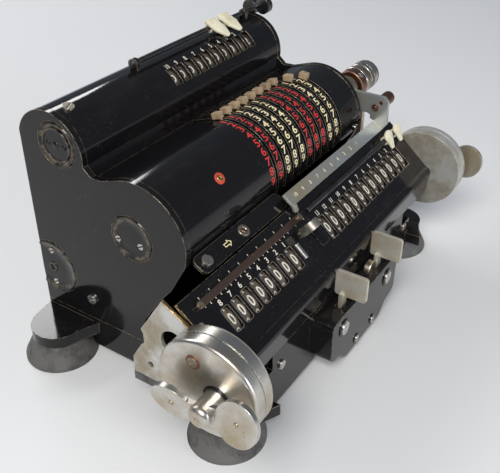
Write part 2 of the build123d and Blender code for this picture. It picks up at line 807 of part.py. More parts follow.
def make_carriage_cover():
    """Long black cover with eight counter windows and thirteen product windows."""
    with BuildPart() as cover:
        with BuildSketch(side_view(carriage_left_x)):
            make_face(sloped_sheet())
        extrude(amount=carriage_right_x - carriage_left_x)
        for x in counter_x:
            with BuildSketch(slope_plane(x, window_y, window_z, carriage_sheet)):
                RectangleRounded(window_width, counter_window_height, 0.8)
            extrude(amount=-3 * carriage_sheet, mode=Mode.SUBTRACT)
        for x in product_x:
            with BuildSketch(slope_plane(x, window_y, window_z, carriage_sheet)):
                Rectangle(window_width, product_window_height)
            extrude(amount=-3 * carriage_sheet, mode=Mode.SUBTRACT)
        with BuildSketch(slope_plane(button_x, button_y, button_z, carriage_sheet)):
            Circle(button_stem / 2 + running_gap)
        extrude(amount=-3 * carriage_sheet, mode=Mode.SUBTRACT)
    finish(cover, "carriage_cover")


def make_end_plates():
    """Nickelled plate at each end of the carriage, pierced for the shaft."""
    with BuildPart() as plates:
        for x in (left_plate_x, carriage_right_x):
            with BuildSketch(side_view(x)):
                with BuildLine():
                    Polyline(*end_outline, close=True)
                make_face()
                with Locations((end_drum_y, end_drum_z)):
                    Circle(end_disc_radius)
                with Locations(end_plate_hole):
                    Circle(end_plate_hole_radius, mode=Mode.SUBTRACT)
                with Locations(end_plate_eye):
                    Circle(end_plate_eye_radius, mode=Mode.SUBTRACT)
                with Locations((dial_y, dial_z)):
                    Circle(dial_shaft_radius, mode=Mode.SUBTRACT)
            extrude(amount=end_plate)
    finish(plates, "end_plates")


def make_carriage_bar():
    """Flat bar under the carriage that slides on the rail of the base."""
    with BuildPart() as bar:
        with BuildSketch(Plane.XY.offset(bar_low_z)):
            with Locations(((left_plate_x + right_plate_x) / 2, (bar_front_y + bar_rear_y) / 2)):
                Rectangle(right_plate_x - left_plate_x, bar_rear_y - bar_front_y)
        extrude(amount=bar_high_z - bar_low_z)
    finish(bar, "carriage_bar")


def make_dial_shaft():
    with BuildPart() as shaft:
        with BuildSketch(side_view(left_plate_x)):
            with Locations((dial_y, dial_z)):
                Circle(dial_shaft_radius)
        extrude(amount=right_plate_x - left_plate_x)
    finish(shaft, "dial_shaft")


def make_dials(places, width, name):
    """A row of number wheels on the dial shaft."""
    with BuildPart() as dials:
        for x in places:
            with BuildSketch(side_view(x - width / 2)):
                with Locations((dial_y, dial_z)):
                    Circle(dial_radius)
                    Circle(dial_shaft_radius + running_gap, mode=Mode.SUBTRACT)
            extrude(amount=width)
    finish(dials, name)


def make_end_drum(plate_x, cap_x, radius, name):
    """Shallow round cup on a carriage end, with a groove round its side."""
    out = 1 if cap_x > plate_x else -1
    groove_x = plate_x + out * drum_groove_from_back
    with BuildPart() as cup:
        with BuildSketch(side_view(plate_x)):
            with Locations((end_drum_y, end_drum_z)):
                Circle(radius)
        extrude(amount=cap_x - plate_x)
        fillet(cup.edges().sort_by(Axis.X)[0 if out < 0 else -1], drum_wall)
        with BuildSketch(side_view(groove_x)):
            with Locations((end_drum_y, end_drum_z)):
                Circle(radius + drum_groove)
                Circle(radius - drum_groove, mode=Mode.SUBTRACT)
        extrude(amount=out * drum_groove, mode=Mode.SUBTRACT)
        with BuildSketch(side_view(plate_x)):
            with Locations((end_drum_y, end_drum_z)):
                Circle(radius - drum_wall)
        extrude(amount=cap_x - plate_x - out * drum_wall, mode=Mode.SUBTRACT)
        with BuildSketch(side_view(plate_x)):
            with Locations((wing_y, wing_z)):
                Circle(wing_spindle_radius + running_gap)
        extrude(amount=cap_x - plate_x, mode=Mode.SUBTRACT)
    finish(cup, name)


def make_wing(cap_x, out, name):
    """Wing nut: two lobes twisted like a propeller, its spindle collared inside the cup."""
    lean = math.radians(wing_tilt)
    twist = math.radians(wing_twist)
    collar_x = cap_x - out * (drum_wall + running_gap)
    hub_x = cap_x + out * running_gap
    plate_x = cap_x + out * (wing_hub_length - wing_set_back)
    with BuildPart() as wing:
        with BuildSketch(side_view(collar_x)):
            with Locations((wing_y, wing_z)):
                Circle(wing_collar_radius)
        extrude(amount=-out * wing_collar)
        with BuildSketch(side_view(collar_x)):
            with Locations((wing_y, wing_z)):
                Circle(wing_spindle_radius)
        extrude(amount=hub_x - collar_x)
        with BuildSketch(side_view(hub_x)):
            with Locations((wing_y, wing_z)):
                Circle(wing_hub_radius)
        extrude(amount=cap_x + out * wing_hub_length - hub_x)
        fillet(wing.edges().sort_by(Axis.X)[0 if out < 0 else -1], wing_dome)
        for side in (-1, 1):
            along = (0, side * math.cos(lean), -side * math.sin(lean))
            turned = out * side * math.sin(twist)
            outward = (out * math.cos(twist), turned * math.sin(lean), turned * math.cos(lean))
            with BuildSketch(Plane(origin=(plate_x, wing_y, wing_z), x_dir=along,
                                   z_dir=outward)):
                with Locations((wing_lobe_reach, 0)):
                    Circle(wing_lobe_radius)
                Rectangle(wing_lobe_reach, wing_waist, align=(Align.MIN, Align.CENTER))
            extrude(amount=-wing_plate)
    finish(wing, name)


def make_pointer_strip():
    """Flat bronze strip screwed along the top of the counter windows."""
    with BuildPart() as strip:
        with BuildSketch(slope_plane((strip_left_x + strip_right_x) / 2, rail_y, rail_z)):
            SlotOverall(strip_right_x - strip_left_x, strip_width)
        extrude(amount=strip_thickness)
    finish(strip, "pointer_strip")


def make_pointer_rod():
    """Thin rod on two posts along the top of the product windows."""
    rod_plane_y = rail_y + front_rod_height * slope_normal[1]
    rod_plane_z = rail_z + front_rod_height * slope_normal[2]
    left, right = front_rod_x
    with BuildPart() as rod:
        with BuildSketch(side_view(left)):
            with Locations((rod_plane_y, rod_plane_z)):
                Circle(front_rod_radius)
        extrude(amount=right - left)
        for x in (left + front_rod_post / 2, right - front_rod_post / 2):
            with BuildSketch(slope_plane(x, rail_y, rail_z)):
                Rectangle(front_rod_post, 2 * front_rod_radius)
            extrude(amount=front_rod_height)
    finish(rod, "pointer_rod")


def make_front_markers():
    """Two pointers that slide on the front rod."""
    ring = front_rod_radius + running_gap
    for number, x in enumerate(front_marker_x, start=1):
        section = Plane(origin=(x - marker_width / 2, rail_y, rail_z),
                        x_dir=(0, -slope_normal[2], slope_normal[1]), z_dir=(-1, 0, 0))
        with BuildPart() as marker:
            with BuildSketch(section):
                with Locations((0, front_rod_height)):
                    Circle(ring + marker_sheet)
                with BuildLine():
                    Polyline((0, front_rod_height + ring + marker_sheet),
                             (front_marker_reach, slide_gap + marker_sheet),
                             (front_marker_reach, slide_gap), (0, slide_gap), close=True)
                make_face()
                with Locations((0, front_rod_height)):
                    Circle(ring, mode=Mode.SUBTRACT)
                with Locations((-marker_width, -marker_width / 2 + slide_gap)):
                    Rectangle(4 * marker_width, marker_width, mode=Mode.SUBTRACT)
            extrude(amount=-marker_width)
        finish(marker, f"front_marker_{number}")


def make_release_button():
    """Half-round thumb button on a stem through the carriage cover."""
    with BuildPart() as button:
        lifted = slope_plane(button_x, button_y, button_z, button_lift)
        with BuildSketch(Plane(origin=lifted.origin, x_dir=(1, 0, 0), z_dir=lifted.y_dir)):
            with BuildLine():
                Polyline((-button_width / 2, button_width / 2 - button_height),
                         (-button_width / 2, 0), (button_width / 2, 0),
                         (button_width / 2, button_width / 2 - button_height))
                ThreePointArc((button_width / 2, button_width / 2 - button_height),
                              (0, -button_height),
                              (-button_width / 2, button_width / 2 - button_height))
            make_face()
        extrude(amount=button_depth / 2, both=True)
        with BuildSketch(slope_plane(button_x, button_y, button_z, button_lift)):
            Circle(button_stem / 2)
        extrude(amount=-button_lift - carriage_sheet - button_stem)
    finish(button, "release_button")


# ---------------------------------------------------------------- shift keys
def make_key_box():
    """Hollow box on the front wall with two slots on top and two pivot pins inside."""
    with BuildPart() as box:
        for depth, wall in ((0, 0), (box_wall, box_wall)):
            mode = Mode.SUBTRACT if wall else Mode.ADD
            with BuildSketch(Plane.XZ.offset(-base_front_y)) as face:
                with BuildLine():
                    Polyline((box_x - box_half_width + wall, box_top_z - wall),
                             (box_x + box_half_width - wall, box_top_z - wall),
                             (box_x + box_half_width - wall, box_step_z + wall),
                             (box_x + box_step - wall, box_step_z - 2 + wall),
                             (box_x + box_lobe - wall, box_low_z + wall),
                             (box_x - box_lobe + wall, box_low_z + wall),
                             (box_x - box_step + wall, box_step_z - 2 + wall),
                             (box_x - box_half_width + wall, box_step_z + wall), close=True)
                make_face()
                fillet(face.vertices(), box_corner - wall)
            extrude(amount=base_front_y - box_front_y - depth, mode=mode)
        with BuildSketch(Plane.XY.offset(box_top_z)):
            for x in key_x:
                with Locations((x, sum(key_slot_y) / 2)):
                    Rectangle(key_slot_width, key_slot_y[1] - key_slot_y[0])
        extrude(amount=-2 * box_wall, mode=Mode.SUBTRACT)
        with BuildSketch(Plane.XZ.offset(-base_front_y)):
            for x in key_pivot_x:
                with Locations((x, key_pivot_z)):
                    Circle(key_pin_radius)
        extrude(amount=base_front_y - box_front_y - box_wall)
    finish(box, "key_box")


def make_keys():
    """Two upright thumb plates on arms that swing sideways in the box."""
    for name, x, pivot_x in (("left_key", key_x[0], key_pivot_x[0]),
                             ("right_key", key_x[1], key_pivot_x[1])):
        low = key_pivot_z - key_eye
        with BuildPart() as key:
            with BuildSketch(side_view(x - key_thickness / 2)):
                with Locations(((key_front_y + key_rear_y) / 2, (key_low_z + key_high_z) / 2)):
                    RectangleRounded(key_rear_y - key_front_y, key_high_z - key_low_z, sheet)
            extrude(amount=key_thickness)
            with BuildSketch(Plane.XZ.offset(-key_arm_y - key_arm / 2)):
                with Locations((x, (low + key_low_z + sheet) / 2)):
                    Rectangle(key_eye, key_low_z + sheet - low)
                with Locations(((x + pivot_x) / 2, key_pivot_z)):
                    Rectangle(abs(x - pivot_x) + key_eye, 2 * key_eye)
                with Locations((pivot_x, key_pivot_z)):
                    Circle(key_eye)
                    Circle(key_pin_radius + running_gap, mode=Mode.SUBTRACT)
            extrude(amount=key_arm)
        finish(key, name)


# ---------------------------------------------------------------- screws
def make_screws(places, name):
    """Slotted screw heads seated on their surfaces, one solid each."""
    with BuildPart() as screws:
        for plane, radius, height, turn in places:
            with BuildSketch(plane):
                Circle(radius)
            extrude(amount=height)
            with BuildSketch(plane.offset(height)):
                Rectangle(2 * radius, screw_slot, rotation=turn)
            extrude(amount=-height / 2, mode=Mode.SUBTRACT)
    finish(screws, name)


def case_screw_places():
    """Heads on the covers, the shelf, the left plate, the base and the key box."""
    left = -case_half_width + disc_recess - disc_thickness
    shelf_rise = math.atan2(shelf_rear_z - shelf_front_z, shelf_rear_y - shelf_front_y)
    shelf_y, shelf_z = (shelf_front_y + shelf_rear_y) / 2, (shelf_front_z + shelf_rear_z) / 2
    places = [
        (on_arc((9.2 - case_half_width, *register_point(75, register_outer)), 75), 2.6, 1.0, 20),
        (on_arc((case_half_width - 5.2, *drum_point(-9, cover_outer)), -9), 2.0, 0.9, 70),
        (facing(shelf_left_x + 5.5, shelf_y, shelf_z,
                (0, -math.sin(shelf_rise), math.cos(shelf_rise)),
                (1, 0, 0)), 2.6, 1.0, 40),
        (facing(-case_half_width, 33.4, 31.9, (-1, 0, 0), (0, -1, 0)), 2.4, 1.1, 30),
    ]
    for (disc_y, disc_z, _), offsets in zip(cover_discs, disc_screws):
        for y, z in offsets:
            places.append((facing(left, disc_y + y, disc_z + z, (-1, 0, 0), (0, -1, 0)),
                           1.5, 0.5, 30))
    for x in (18.0 - case_half_width, case_half_width - 8.0):
        places.append((facing(x, base_front_y, 24.3, (0, -1, 0), (1, 0, 0)), 2.2, 0.9, 15))
    for x in key_pivot_x:
        places.append((facing(x, box_front_y, key_pivot_z, (0, -1, 0), (1, 0, 0)), 3.4, 1.0, 75))
    for x in (box_x - 8.0, box_x + 9.5):
        places.append((facing(x, box_front_y, box_low_z + 4.2, (0, -1, 0), (1, 0, 0)), 1.9, 0.8, 5))
    return places


def carriage_screw_places():
    """Heads on the pointer strip, beside it, and on the left cap."""
    cap_y, cap_z = end_drum_y + cap_screw[0], end_drum_z + cap_screw[1]
    corner_y = rail_y - 5.0
    places = [(slope_plane(x, rail_y, rail_z, strip_thickness), 1.5, 0.9, 30)
              for x in (strip_left_x + 1.2, strip_right_x - 1.6)]
    places.append((slope_plane(carriage_left_x + 2.5, corner_y, slope_height(corner_y)),
                   1.6, 0.7, 60))
    places.append((facing(left_cap_x, cap_y, cap_z, (-1, 0, 0), (0, -1, 0)), 2.2, 0.6, 35))
    places.append((facing(right_cap_x, cap_y, cap_z, (1, 0, 0), (0, 1, 0)), 2.2, 0.6, 35))
    return places


make_base()
make_feet()
make_side_plates()
make_bearing_covers()
make_drum_cover()
make_register_cover()
make_front_shelf()
make_crank_sleeve()
make_check_shaft()
make_check_dials()
make_pinwheel_drum()
make_levers()
make_crank()
make_grip()
make_bail()
make_rod_brackets()
make_rear_rod()
make_rear_markers()
make_carriage_cover()
make_end_plates()
make_carriage_bar()
make_dial_shaft()
make_dials(counter_x, dial_width, "counter_dials")
make_dials(product_x, dial_width, "product_dials")
make_end_drum(left_plate_x, left_cap_x, left_drum_radius, "left_end_drum")
make_end_drum(right_plate_x, right_cap_x, right_drum_radius, "right_end_drum")
make_wing(left_cap_x, -1, "left_wing")
make_wing(right_cap_x, 1, "right_wing")
make_pointer_strip()
make_pointer_rod()
make_front_markers()
make_release_button()
make_key_box()
make_keys()
make_screws(case_screw_places(), "case_screws")
make_screws(carriage_screw_places(), "carriage_screws")
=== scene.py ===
import math

import bmesh
import bpy
from mathutils import Matrix, Vector


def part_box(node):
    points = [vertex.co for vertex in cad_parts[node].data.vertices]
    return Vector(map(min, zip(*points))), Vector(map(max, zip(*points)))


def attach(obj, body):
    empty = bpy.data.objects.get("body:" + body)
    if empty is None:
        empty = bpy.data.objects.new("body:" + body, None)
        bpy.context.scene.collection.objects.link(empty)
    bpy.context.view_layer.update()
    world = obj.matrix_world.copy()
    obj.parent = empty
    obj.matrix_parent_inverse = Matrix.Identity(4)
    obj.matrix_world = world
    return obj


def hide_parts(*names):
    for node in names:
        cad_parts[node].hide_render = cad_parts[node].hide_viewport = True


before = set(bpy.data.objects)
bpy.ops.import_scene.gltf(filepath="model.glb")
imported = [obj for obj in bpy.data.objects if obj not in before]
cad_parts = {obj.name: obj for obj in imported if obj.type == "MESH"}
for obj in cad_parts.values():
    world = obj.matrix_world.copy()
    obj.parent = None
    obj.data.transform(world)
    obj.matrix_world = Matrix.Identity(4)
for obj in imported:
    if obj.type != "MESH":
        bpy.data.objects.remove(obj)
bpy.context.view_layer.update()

# ------------------------------------------------------------------ places, in mm
# The case's own middle lies midway between the four feet; +X right, +Y back, +Z up.
feet_low, feet_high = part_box("foot_pads")
CASE_MIDDLE = Vector(((feet_low.x + feet_high.x) / 2, (feet_low.y + feet_high.y) / 2, 0))
MM = 0.001

COLUMN_PITCH = 7.0
COLUMNS = [54.6 - COLUMN_PITCH * k for k in range(10)]
COUNTER_X = [-81.6 + COLUMN_PITCH * k for k in range(8)]
PRODUCT_X = [82.6 - COLUMN_PITCH * k for k in range(13)]
SETTINGS = {1: 2, 2: 1}

DRUM = (1.7, 78.6)
DRUM_SURFACE = 25.4
LEVER_ZERO = 107.5
DIGIT_STEP = 11.25
REGISTER = (46.7, 105.7)
REGISTER_SURFACE = 18.3
CHECK_AXIS = (42.4, 109.6)
CHECK_RADIUS = 10.6
WINDOW_ANGLE = 46.0
SLOPE = math.radians(40.5)
SLOPE_UP = Vector((0, math.cos(SLOPE), math.sin(SLOPE)))
SLOPE_OUT = Vector((0, -math.sin(SLOPE), math.cos(SLOPE)))
WINDOW_ROW = (-48.0, 59.6)
DIAL_DEPTH = 11.5
DIAL_RADIUS = 11.1
WING_AXIS = (-60.7, 47.2)
WING_TILT = math.radians(10)
LEFT_CAP_X = -111.3
RIGHT_CAP_X = 108.4
WING_TWIST = math.radians(12)
KEY_X = [-17.5, 20.5]
KEY_PIVOT_X = [-24.5, 22.5]
DISCS = [(42.5, 109.7, 10.5), (4.9, 76.2, 11.0), (56.7, 41.5, 14.0)]
FRONT_MARKER_X = [79.4, 90.4]
REAR_MARKER_X = [38.0, 49.0]
POINTER_LEAN = math.radians(62)
FLAG_LEAN = math.radians(24)
ROD_AXIS = (45.4, 127.4)
LEFT_PLATE_X = -79.0
WALL_BACK_Y = 64.2
BOX_FRONT_Y = -71.3
BOX_SCREW_Z = 24.5
BOX_LOW_SCREWS = [(-9.0, 6.8), (8.5, 6.8)]
CUP_SCREW = (-50.5, 60.5)
CUP_BORE_RADIUS = 5.1
WING_HUB_END = 12.6
LOBE_REACH = 14.8
LOBE_FACE = 8.8
OILER = (-44.8, 43.7)
SHELF_MIDDLE = (-28.4, 73.6)
SHELF_RISE = math.atan2(75.9 - 71.3, -24.4 + 32.4)
BAIL_STRIP = (-33.6, 75.9)
BAIL_RISE = math.atan2(78.0 - 73.8, -30.9 + 36.3)
BAIL_RIVET = (80.5, -31.1, 85.5)
EDGING_X = -100.7
CRANK_EYE_X = 115.8
CRANK_CAP_X = 122.6

ACROSS = Vector((1, 0, 0))
TO_LEFT = Vector((-1, 0, 0))
AHEAD = Vector((0, -1, 0))


def spot(x, y, z):
    """A place of the case, in mm, as a point of the frame in metres."""
    return Vector((x, y, z)) * MM + CASE_MIDDLE


def round_the(axis, angle, radius):
    """(y, z) at an angle about an axis, counted up from straight ahead."""
    turn = math.radians(angle)
    return axis[0] - radius * math.cos(turn), axis[1] + radius * math.sin(turn)


def on_slope(x, up, out=0.0):
    """A place on the carriage face: up the slope from the window row, and out of it."""
    y = WINDOW_ROW[0] + up * SLOPE_UP.y + out * SLOPE_OUT.y
    z = WINDOW_ROW[1] + up * SLOPE_UP.z + out * SLOPE_OUT.z
    return spot(x, y, z)


def standing(place, across, up):
    """Matrix that puts a figure drawn in XY at a place, its right along across."""
    out = across.cross(up)
    turned = Matrix((across, up, out)).transposed().to_4x4()
    return Matrix.Translation(place) @ turned


# ------------------------------------------------------------------ shader groups
def start_group(name, inputs, outputs):
    group = bpy.data.node_groups.new(name, "ShaderNodeTree")
    for label, value in inputs:
        socket = group.interface.new_socket(label, in_out="INPUT", socket_type="NodeSocketFloat")
        socket.default_value = value
    for label, kind in outputs:
        group.interface.new_socket(label, in_out="OUTPUT", socket_type=kind)
    return group, group.nodes.new("NodeGroupInput"), group.nodes.new("NodeGroupOutput")


def add_node(tree, kind, **settings):
    node = tree.nodes.new(kind)
    for key, value in settings.items():
        if key in node.inputs and not hasattr(type(node), key):
            node.inputs[key].default_value = value
        else:
            setattr(node, key, value)
    return node


def set_inputs(node, **values):
    for key, value in values.items():
        node.inputs[key.replace("_", " ")].default_value = value
    return node


def ramp_node(tree, source, low, high):
    """Map a value so that low becomes 0 and high becomes 1."""
    node = add_node(tree, "ShaderNodeMapRange")
    node.interpolation_type = "SMOOTHSTEP"
    node.inputs["From Min"].default_value = low
    node.inputs["From Max"].default_value = high
    tree.links.new(source, node.inputs["Value"])
    return node.outputs["Result"]


def math_node(tree, operation, first, second):
    node = add_node(tree, "ShaderNodeMath", operation=operation)
    for socket, value in zip(node.inputs, (first, second)):
        if isinstance(value, (int, float)):
            socket.default_value = value
        else:
            tree.links.new(value, socket)
    return node.outputs[0]


def noise_node(tree, scale, detail=4.0, rough=0.6, stretch=None):
    """Noise on object coordinates, stretched per axis where asked."""
    where = add_node(tree, "ShaderNodeTexCoord").outputs["Object"]
    if stretch:
        mapping = add_node(tree, "ShaderNodeMapping")
        mapping.inputs["Scale"].default_value = stretch
        tree.links.new(where, mapping.inputs["Vector"])
        where = mapping.outputs["Vector"]
    noise = add_node(tree, "ShaderNodeTexNoise")
    set_inputs(noise, Scale=scale, Detail=detail, Roughness=rough)
    tree.links.new(where, noise.inputs["Vector"])
    return noise.outputs["Fac"]


def make_edge_wear():
    """Mask of rubbed edges: where a rounded normal leaves the true one, broken by noise."""
    group, given, result = start_group(
        "edge_wear", [("Low", 0.02), ("High", 0.25)], [("Mask", "NodeSocketFloat")])
    bevel = add_node(group, "ShaderNodeBevel", samples=6)
    bevel.inputs["Radius"].default_value = 0.0007
    true_normal = add_node(group, "ShaderNodeNewGeometry").outputs["True Normal"]
    dot = add_node(group, "ShaderNodeVectorMath", operation="DOT_PRODUCT")
    group.links.new(bevel.outputs[0], dot.inputs[0])
    group.links.new(true_normal, dot.inputs[1])
    away = math_node(group, "SUBTRACT", 1.0, dot.outputs["Value"])
    patches = ramp_node(group, noise_node(group, 260), 0.36, 0.58)
    broken = math_node(group, "MULTIPLY", away, patches)
    mask = add_node(group, "ShaderNodeMapRange")
    group.links.new(broken, mask.inputs["Value"])
    group.links.new(given.outputs["Low"], mask.inputs["From Min"])
    group.links.new(given.outputs["High"], mask.inputs["From Max"])
    group.links.new(mask.outputs["Result"], result.inputs["Mask"])
    return group


def make_dust():
    """Masks of fine dust specks and of broad smears."""
    group, given, result = start_group(
        "dust", [("Amount", 0.3)], [("Specks", "NodeSocketFloat"), ("Smear", "NodeSocketFloat")])
    specks = ramp_node(group, noise_node(group, 1400, 2, 0.7), 0.66, 0.74)
    patches = ramp_node(group, noise_node(group, 55, 5, 0.65), 0.45, 0.70)
    smear = ramp_node(group, noise_node(group, 90, 6, 0.7, (0.35, 1, 1)), 0.5, 0.75)
    spotted = math_node(group, "MULTIPLY", specks, patches)
    group.links.new(math_node(group, "MULTIPLY", spotted, given.outputs["Amount"]),
                    result.inputs["Specks"])
    group.links.new(math_node(group, "MULTIPLY", smear, given.outputs["Amount"]),
                    result.inputs["Smear"])
    return group


def make_patina():
    """Masks for old plating: broad clouds, dark freckles and a fine brushed height."""
    group, given, result = start_group(
        "patina", [("Scale", 60.0)],
        [("Clouds", "NodeSocketFloat"), ("Freckles", "NodeSocketFloat"),
         ("Brushed", "NodeSocketFloat")])
    coords = add_node(group, "ShaderNodeTexCoord").outputs["Object"]
    clouds = set_inputs(add_node(group, "ShaderNodeTexNoise"), Detail=6.0, Roughness=0.62)
    group.links.new(coords, clouds.inputs["Vector"])
    group.links.new(given.outputs["Scale"], clouds.inputs["Scale"])
    group.links.new(ramp_node(group, clouds.outputs["Fac"], 0.35, 0.68), result.inputs["Clouds"])
    group.links.new(ramp_node(group, noise_node(group, 420, 5, 0.75), 0.60, 0.74),
                    result.inputs["Freckles"])
    group.links.new(noise_node(group, 700, 3, 0.8, (0.08, 1, 1)), result.inputs["Brushed"])
    return group


EDGE_WEAR = make_edge_wear()
DUST = make_dust()
PATINA = make_patina()


# ------------------------------------------------------------------ materials
def use_group(tree, group, **values):
    node = add_node(tree, "ShaderNodeGroup", node_tree=group)
    return set_inputs(node, **values)


def blend_colour(tree, mask, first, second):
    node = add_node(tree, "ShaderNodeMix", data_type="RGBA")
    sockets = node.inputs[0], node.inputs[6], node.inputs[7]
    for socket, value in zip(sockets, (mask, first, second)):
        if isinstance(value, tuple):
            socket.default_value = (*value, 1)
        else:
            tree.links.new(value, socket)
    return node.outputs[2]


def blend_value(tree, mask, first, second):
    node = add_node(tree, "ShaderNodeMix")
    tree.links.new(mask, node.inputs[0])
    for socket, value in ((node.inputs[2], first), (node.inputs[3], second)):
        if isinstance(value, (int, float)):
            socket.default_value = value
        else:
            tree.links.new(value, socket)
    return node.outputs[0]


def start_material(name):
    material = bpy.data.materials.new(name)
    material.use_nodes = True
    tree = material.node_tree
    return material, tree, tree.nodes["Principled BSDF"]


def rounded_bump(tree, shader, height, strength, distance=0.0002, radius=0.0004):
    """Rounded edges under a bump, both on the shader's normal."""
    bevel = add_node(tree, "ShaderNodeBevel", samples=4)
    bevel.inputs["Radius"].default_value = radius
    bump = set_inputs(add_node(tree, "ShaderNodeBump"), Strength=strength, Distance=distance)
    tree.links.new(height, bump.inputs["Height"])
    tree.links.new(bevel.outputs[0], bump.inputs["Normal"])
    tree.links.new(bump.outputs[0], shader.inputs["Normal"])


def make_enamel(name, wear=(0.03, 0.22), dust=0.35):
    """Glossy black stove enamel, worn to brass-brown metal, with dust and hair scratches."""
    material, tree, shader = start_material(name)
    edges = use_group(tree, EDGE_WEAR, Low=wear[0], High=wear[1]).outputs["Mask"]
    dirt = use_group(tree, DUST, Amount=dust)
    chips = ramp_node(tree, noise_node(tree, 130, 8, 0.7), 0.735, 0.76)
    worn = math_node(tree, "MAXIMUM", edges, chips)
    deep = blend_colour(tree, noise_node(tree, 30), (0.004, 0.004, 0.006), (0.009, 0.008, 0.008))
    dusty = blend_colour(tree, dirt.outputs["Smear"], deep, (0.024, 0.021, 0.018))
    specked = blend_colour(tree, dirt.outputs["Specks"], dusty, (0.55, 0.48, 0.36))
    colour = blend_colour(tree, worn, specked, (0.42, 0.34, 0.22))
    tree.links.new(colour, shader.inputs["Base Color"])
    tree.links.new(worn, shader.inputs["Metallic"])
    shader.inputs["Specular IOR Level"].default_value = 0.38
    rough = blend_value(tree, dirt.outputs["Smear"], 0.09, 0.30)
    tree.links.new(blend_value(tree, worn, rough, 0.38), shader.inputs["Roughness"])
    scratches = noise_node(tree, 900, 2, 0.9, (0.05, 1, 0.4))
    height = math_node(tree, "ADD", math_node(tree, "MULTIPLY", scratches, 0.35),
                       noise_node(tree, 180, 2, 0.5))
    rounded_bump(tree, shader, height, 0.10)
    return material


def make_plating(name, bright, brown, rough=(0.26, 0.5), cloud_scale=60.0,
                 freckle=(0.10, 0.07, 0.05), bare=1.0):
    """Old plated or bare metal: bright ground, brown clouds, dark freckles, rubbed edges."""
    material, tree, shader = start_material(name)
    marks = use_group(tree, PATINA, Scale=cloud_scale)
    edges = use_group(tree, EDGE_WEAR, Low=0.02, High=0.3).outputs["Mask"]
    ground = blend_colour(tree, marks.outputs["Clouds"], bright, brown)
    spotted = blend_colour(tree, math_node(tree, "MULTIPLY", marks.outputs["Freckles"], 0.7),
                           ground, freckle)
    lighter = tuple(min(1, c * 1.25) for c in bright)
    tree.links.new(blend_colour(tree, edges, spotted, lighter), shader.inputs["Base Color"])
    dulled = math_node(tree, "MULTIPLY", marks.outputs["Freckles"], 0.5)
    tree.links.new(math_node(tree, "SUBTRACT", bare, dulled), shader.inputs["Metallic"])
    clouded = blend_value(tree, marks.outputs["Clouds"], rough[0], rough[1])
    spots = blend_value(tree, marks.outputs["Freckles"], clouded, 0.7)
    tree.links.new(spots, shader.inputs["Roughness"])
    rounded_bump(tree, shader, marks.outputs["Brushed"], 0.08)
    return material


def make_moulded(name, light, dark, rough=0.42, scale=110.0, bump=0.12):
    """Matt solid colour with grime in clouds: ivory, rubber, tan tips, wood lacquer."""
    material, tree, shader = start_material(name)
    grime = ramp_node(tree, noise_node(tree, scale, 6, 0.7), 0.42, 0.72)
    edges = use_group(tree, EDGE_WEAR, Low=0.03, High=0.3).outputs["Mask"]
    body = blend_colour(tree, grime, light, dark)
    rubbed = tuple(min(1, c * 1.3 + 0.02) for c in light)
    tree.links.new(blend_colour(tree, edges, body, rubbed), shader.inputs["Base Color"])
    dulled = blend_value(tree, grime, rough, min(1, rough + 0.25))
    tree.links.new(dulled, shader.inputs["Roughness"])
    rounded_bump(tree, shader, noise_node(tree, 600, 4, 0.7), bump)
    return material


def make_rubbed_edge():
    """Thin line of bare metal that breaks off into black where the paint still holds."""
    material, tree, shader = start_material("rubbed_edge")
    held = ramp_node(tree, noise_node(tree, 210, 5, 0.7), 0.50, 0.60)
    tree.links.new(blend_colour(tree, held, (0.50, 0.45, 0.34), (0.02, 0.018, 0.016)),
                   shader.inputs["Base Color"])
    tree.links.new(math_node(tree, "SUBTRACT", 1.0, held), shader.inputs["Metallic"])
    shader.inputs["Roughness"].default_value = 0.35
    return material


def make_figure_paint(name, colour, faded):
    """Painted figures, paler and darker in patches where they have rubbed thin."""
    material, tree, shader = start_material(name)
    thin = ramp_node(tree, noise_node(tree, 160, 5, 0.7), 0.50, 0.72)
    tree.links.new(blend_colour(tree, thin, colour, faded), shader.inputs["Base Color"])
    tree.links.new(blend_value(tree, thin, 0.45, 0.7), shader.inputs["Roughness"])
    return material


enamel = make_enamel("black_enamel")
enamel_worn = make_enamel("black_enamel_worn", (0.02, 0.12), 0.5)
# Dark enamel for the key box screw rims, also used as painted shadow round the bores of the wing
# hubs.
rim_black_and_bore_shade = make_enamel("rim_black_and_bore_shade", (0.2, 0.6), 0.2)
nickel = make_plating("old_nickel", (0.62, 0.61, 0.58), (0.46, 0.38, 0.27), (0.26, 0.44), 42,
                      (0.22, 0.16, 0.11))
key_nickel = make_plating("worn_key_nickel", (0.66, 0.64, 0.56), (0.52, 0.44, 0.30),
                          (0.35, 0.5), 80, (0.30, 0.22, 0.14), 0.62)
matt_nickel = make_plating("matt_nickel", (0.60, 0.60, 0.57), (0.34, 0.29, 0.21), (0.38, 0.52), 70,
                           (0.22, 0.17, 0.12), 0.6)
nickel_brown = make_plating("browned_nickel", (0.52, 0.46, 0.36), (0.26, 0.17, 0.10),
                            (0.3, 0.52), 70)
steel = make_plating("turned_steel", (0.60, 0.60, 0.58), (0.34, 0.30, 0.25), (0.22, 0.4), 120)
bar_steel = make_plating("bar_steel", (0.46, 0.50, 0.51), (0.44, 0.38, 0.27), (0.3, 0.42), 25,
                         (0.20, 0.17, 0.13), 0.7)
dark_steel = make_plating("dark_steel", (0.16, 0.16, 0.17), (0.08, 0.07, 0.06), (0.25, 0.45), 90)
bronze = make_plating("dull_bronze", (0.27, 0.18, 0.14), (0.15, 0.10, 0.08), (0.3, 0.5), 80)
copper_brown = make_plating("copper_brown", (0.30, 0.155, 0.10), (0.12, 0.065, 0.05),
                            (0.35, 0.55), 150)
rubber = make_moulded("old_rubber", (0.115, 0.113, 0.11), (0.05, 0.048, 0.045), 0.68, 90, 0.3)
ivory = make_moulded("ivory", (0.80, 0.76, 0.58), (0.56, 0.48, 0.30), 0.34, 130, 0.05)
tan_metal = make_moulded("tan_tip", (0.42, 0.31, 0.19), (0.20, 0.14, 0.09), 0.36, 240, 0.2)
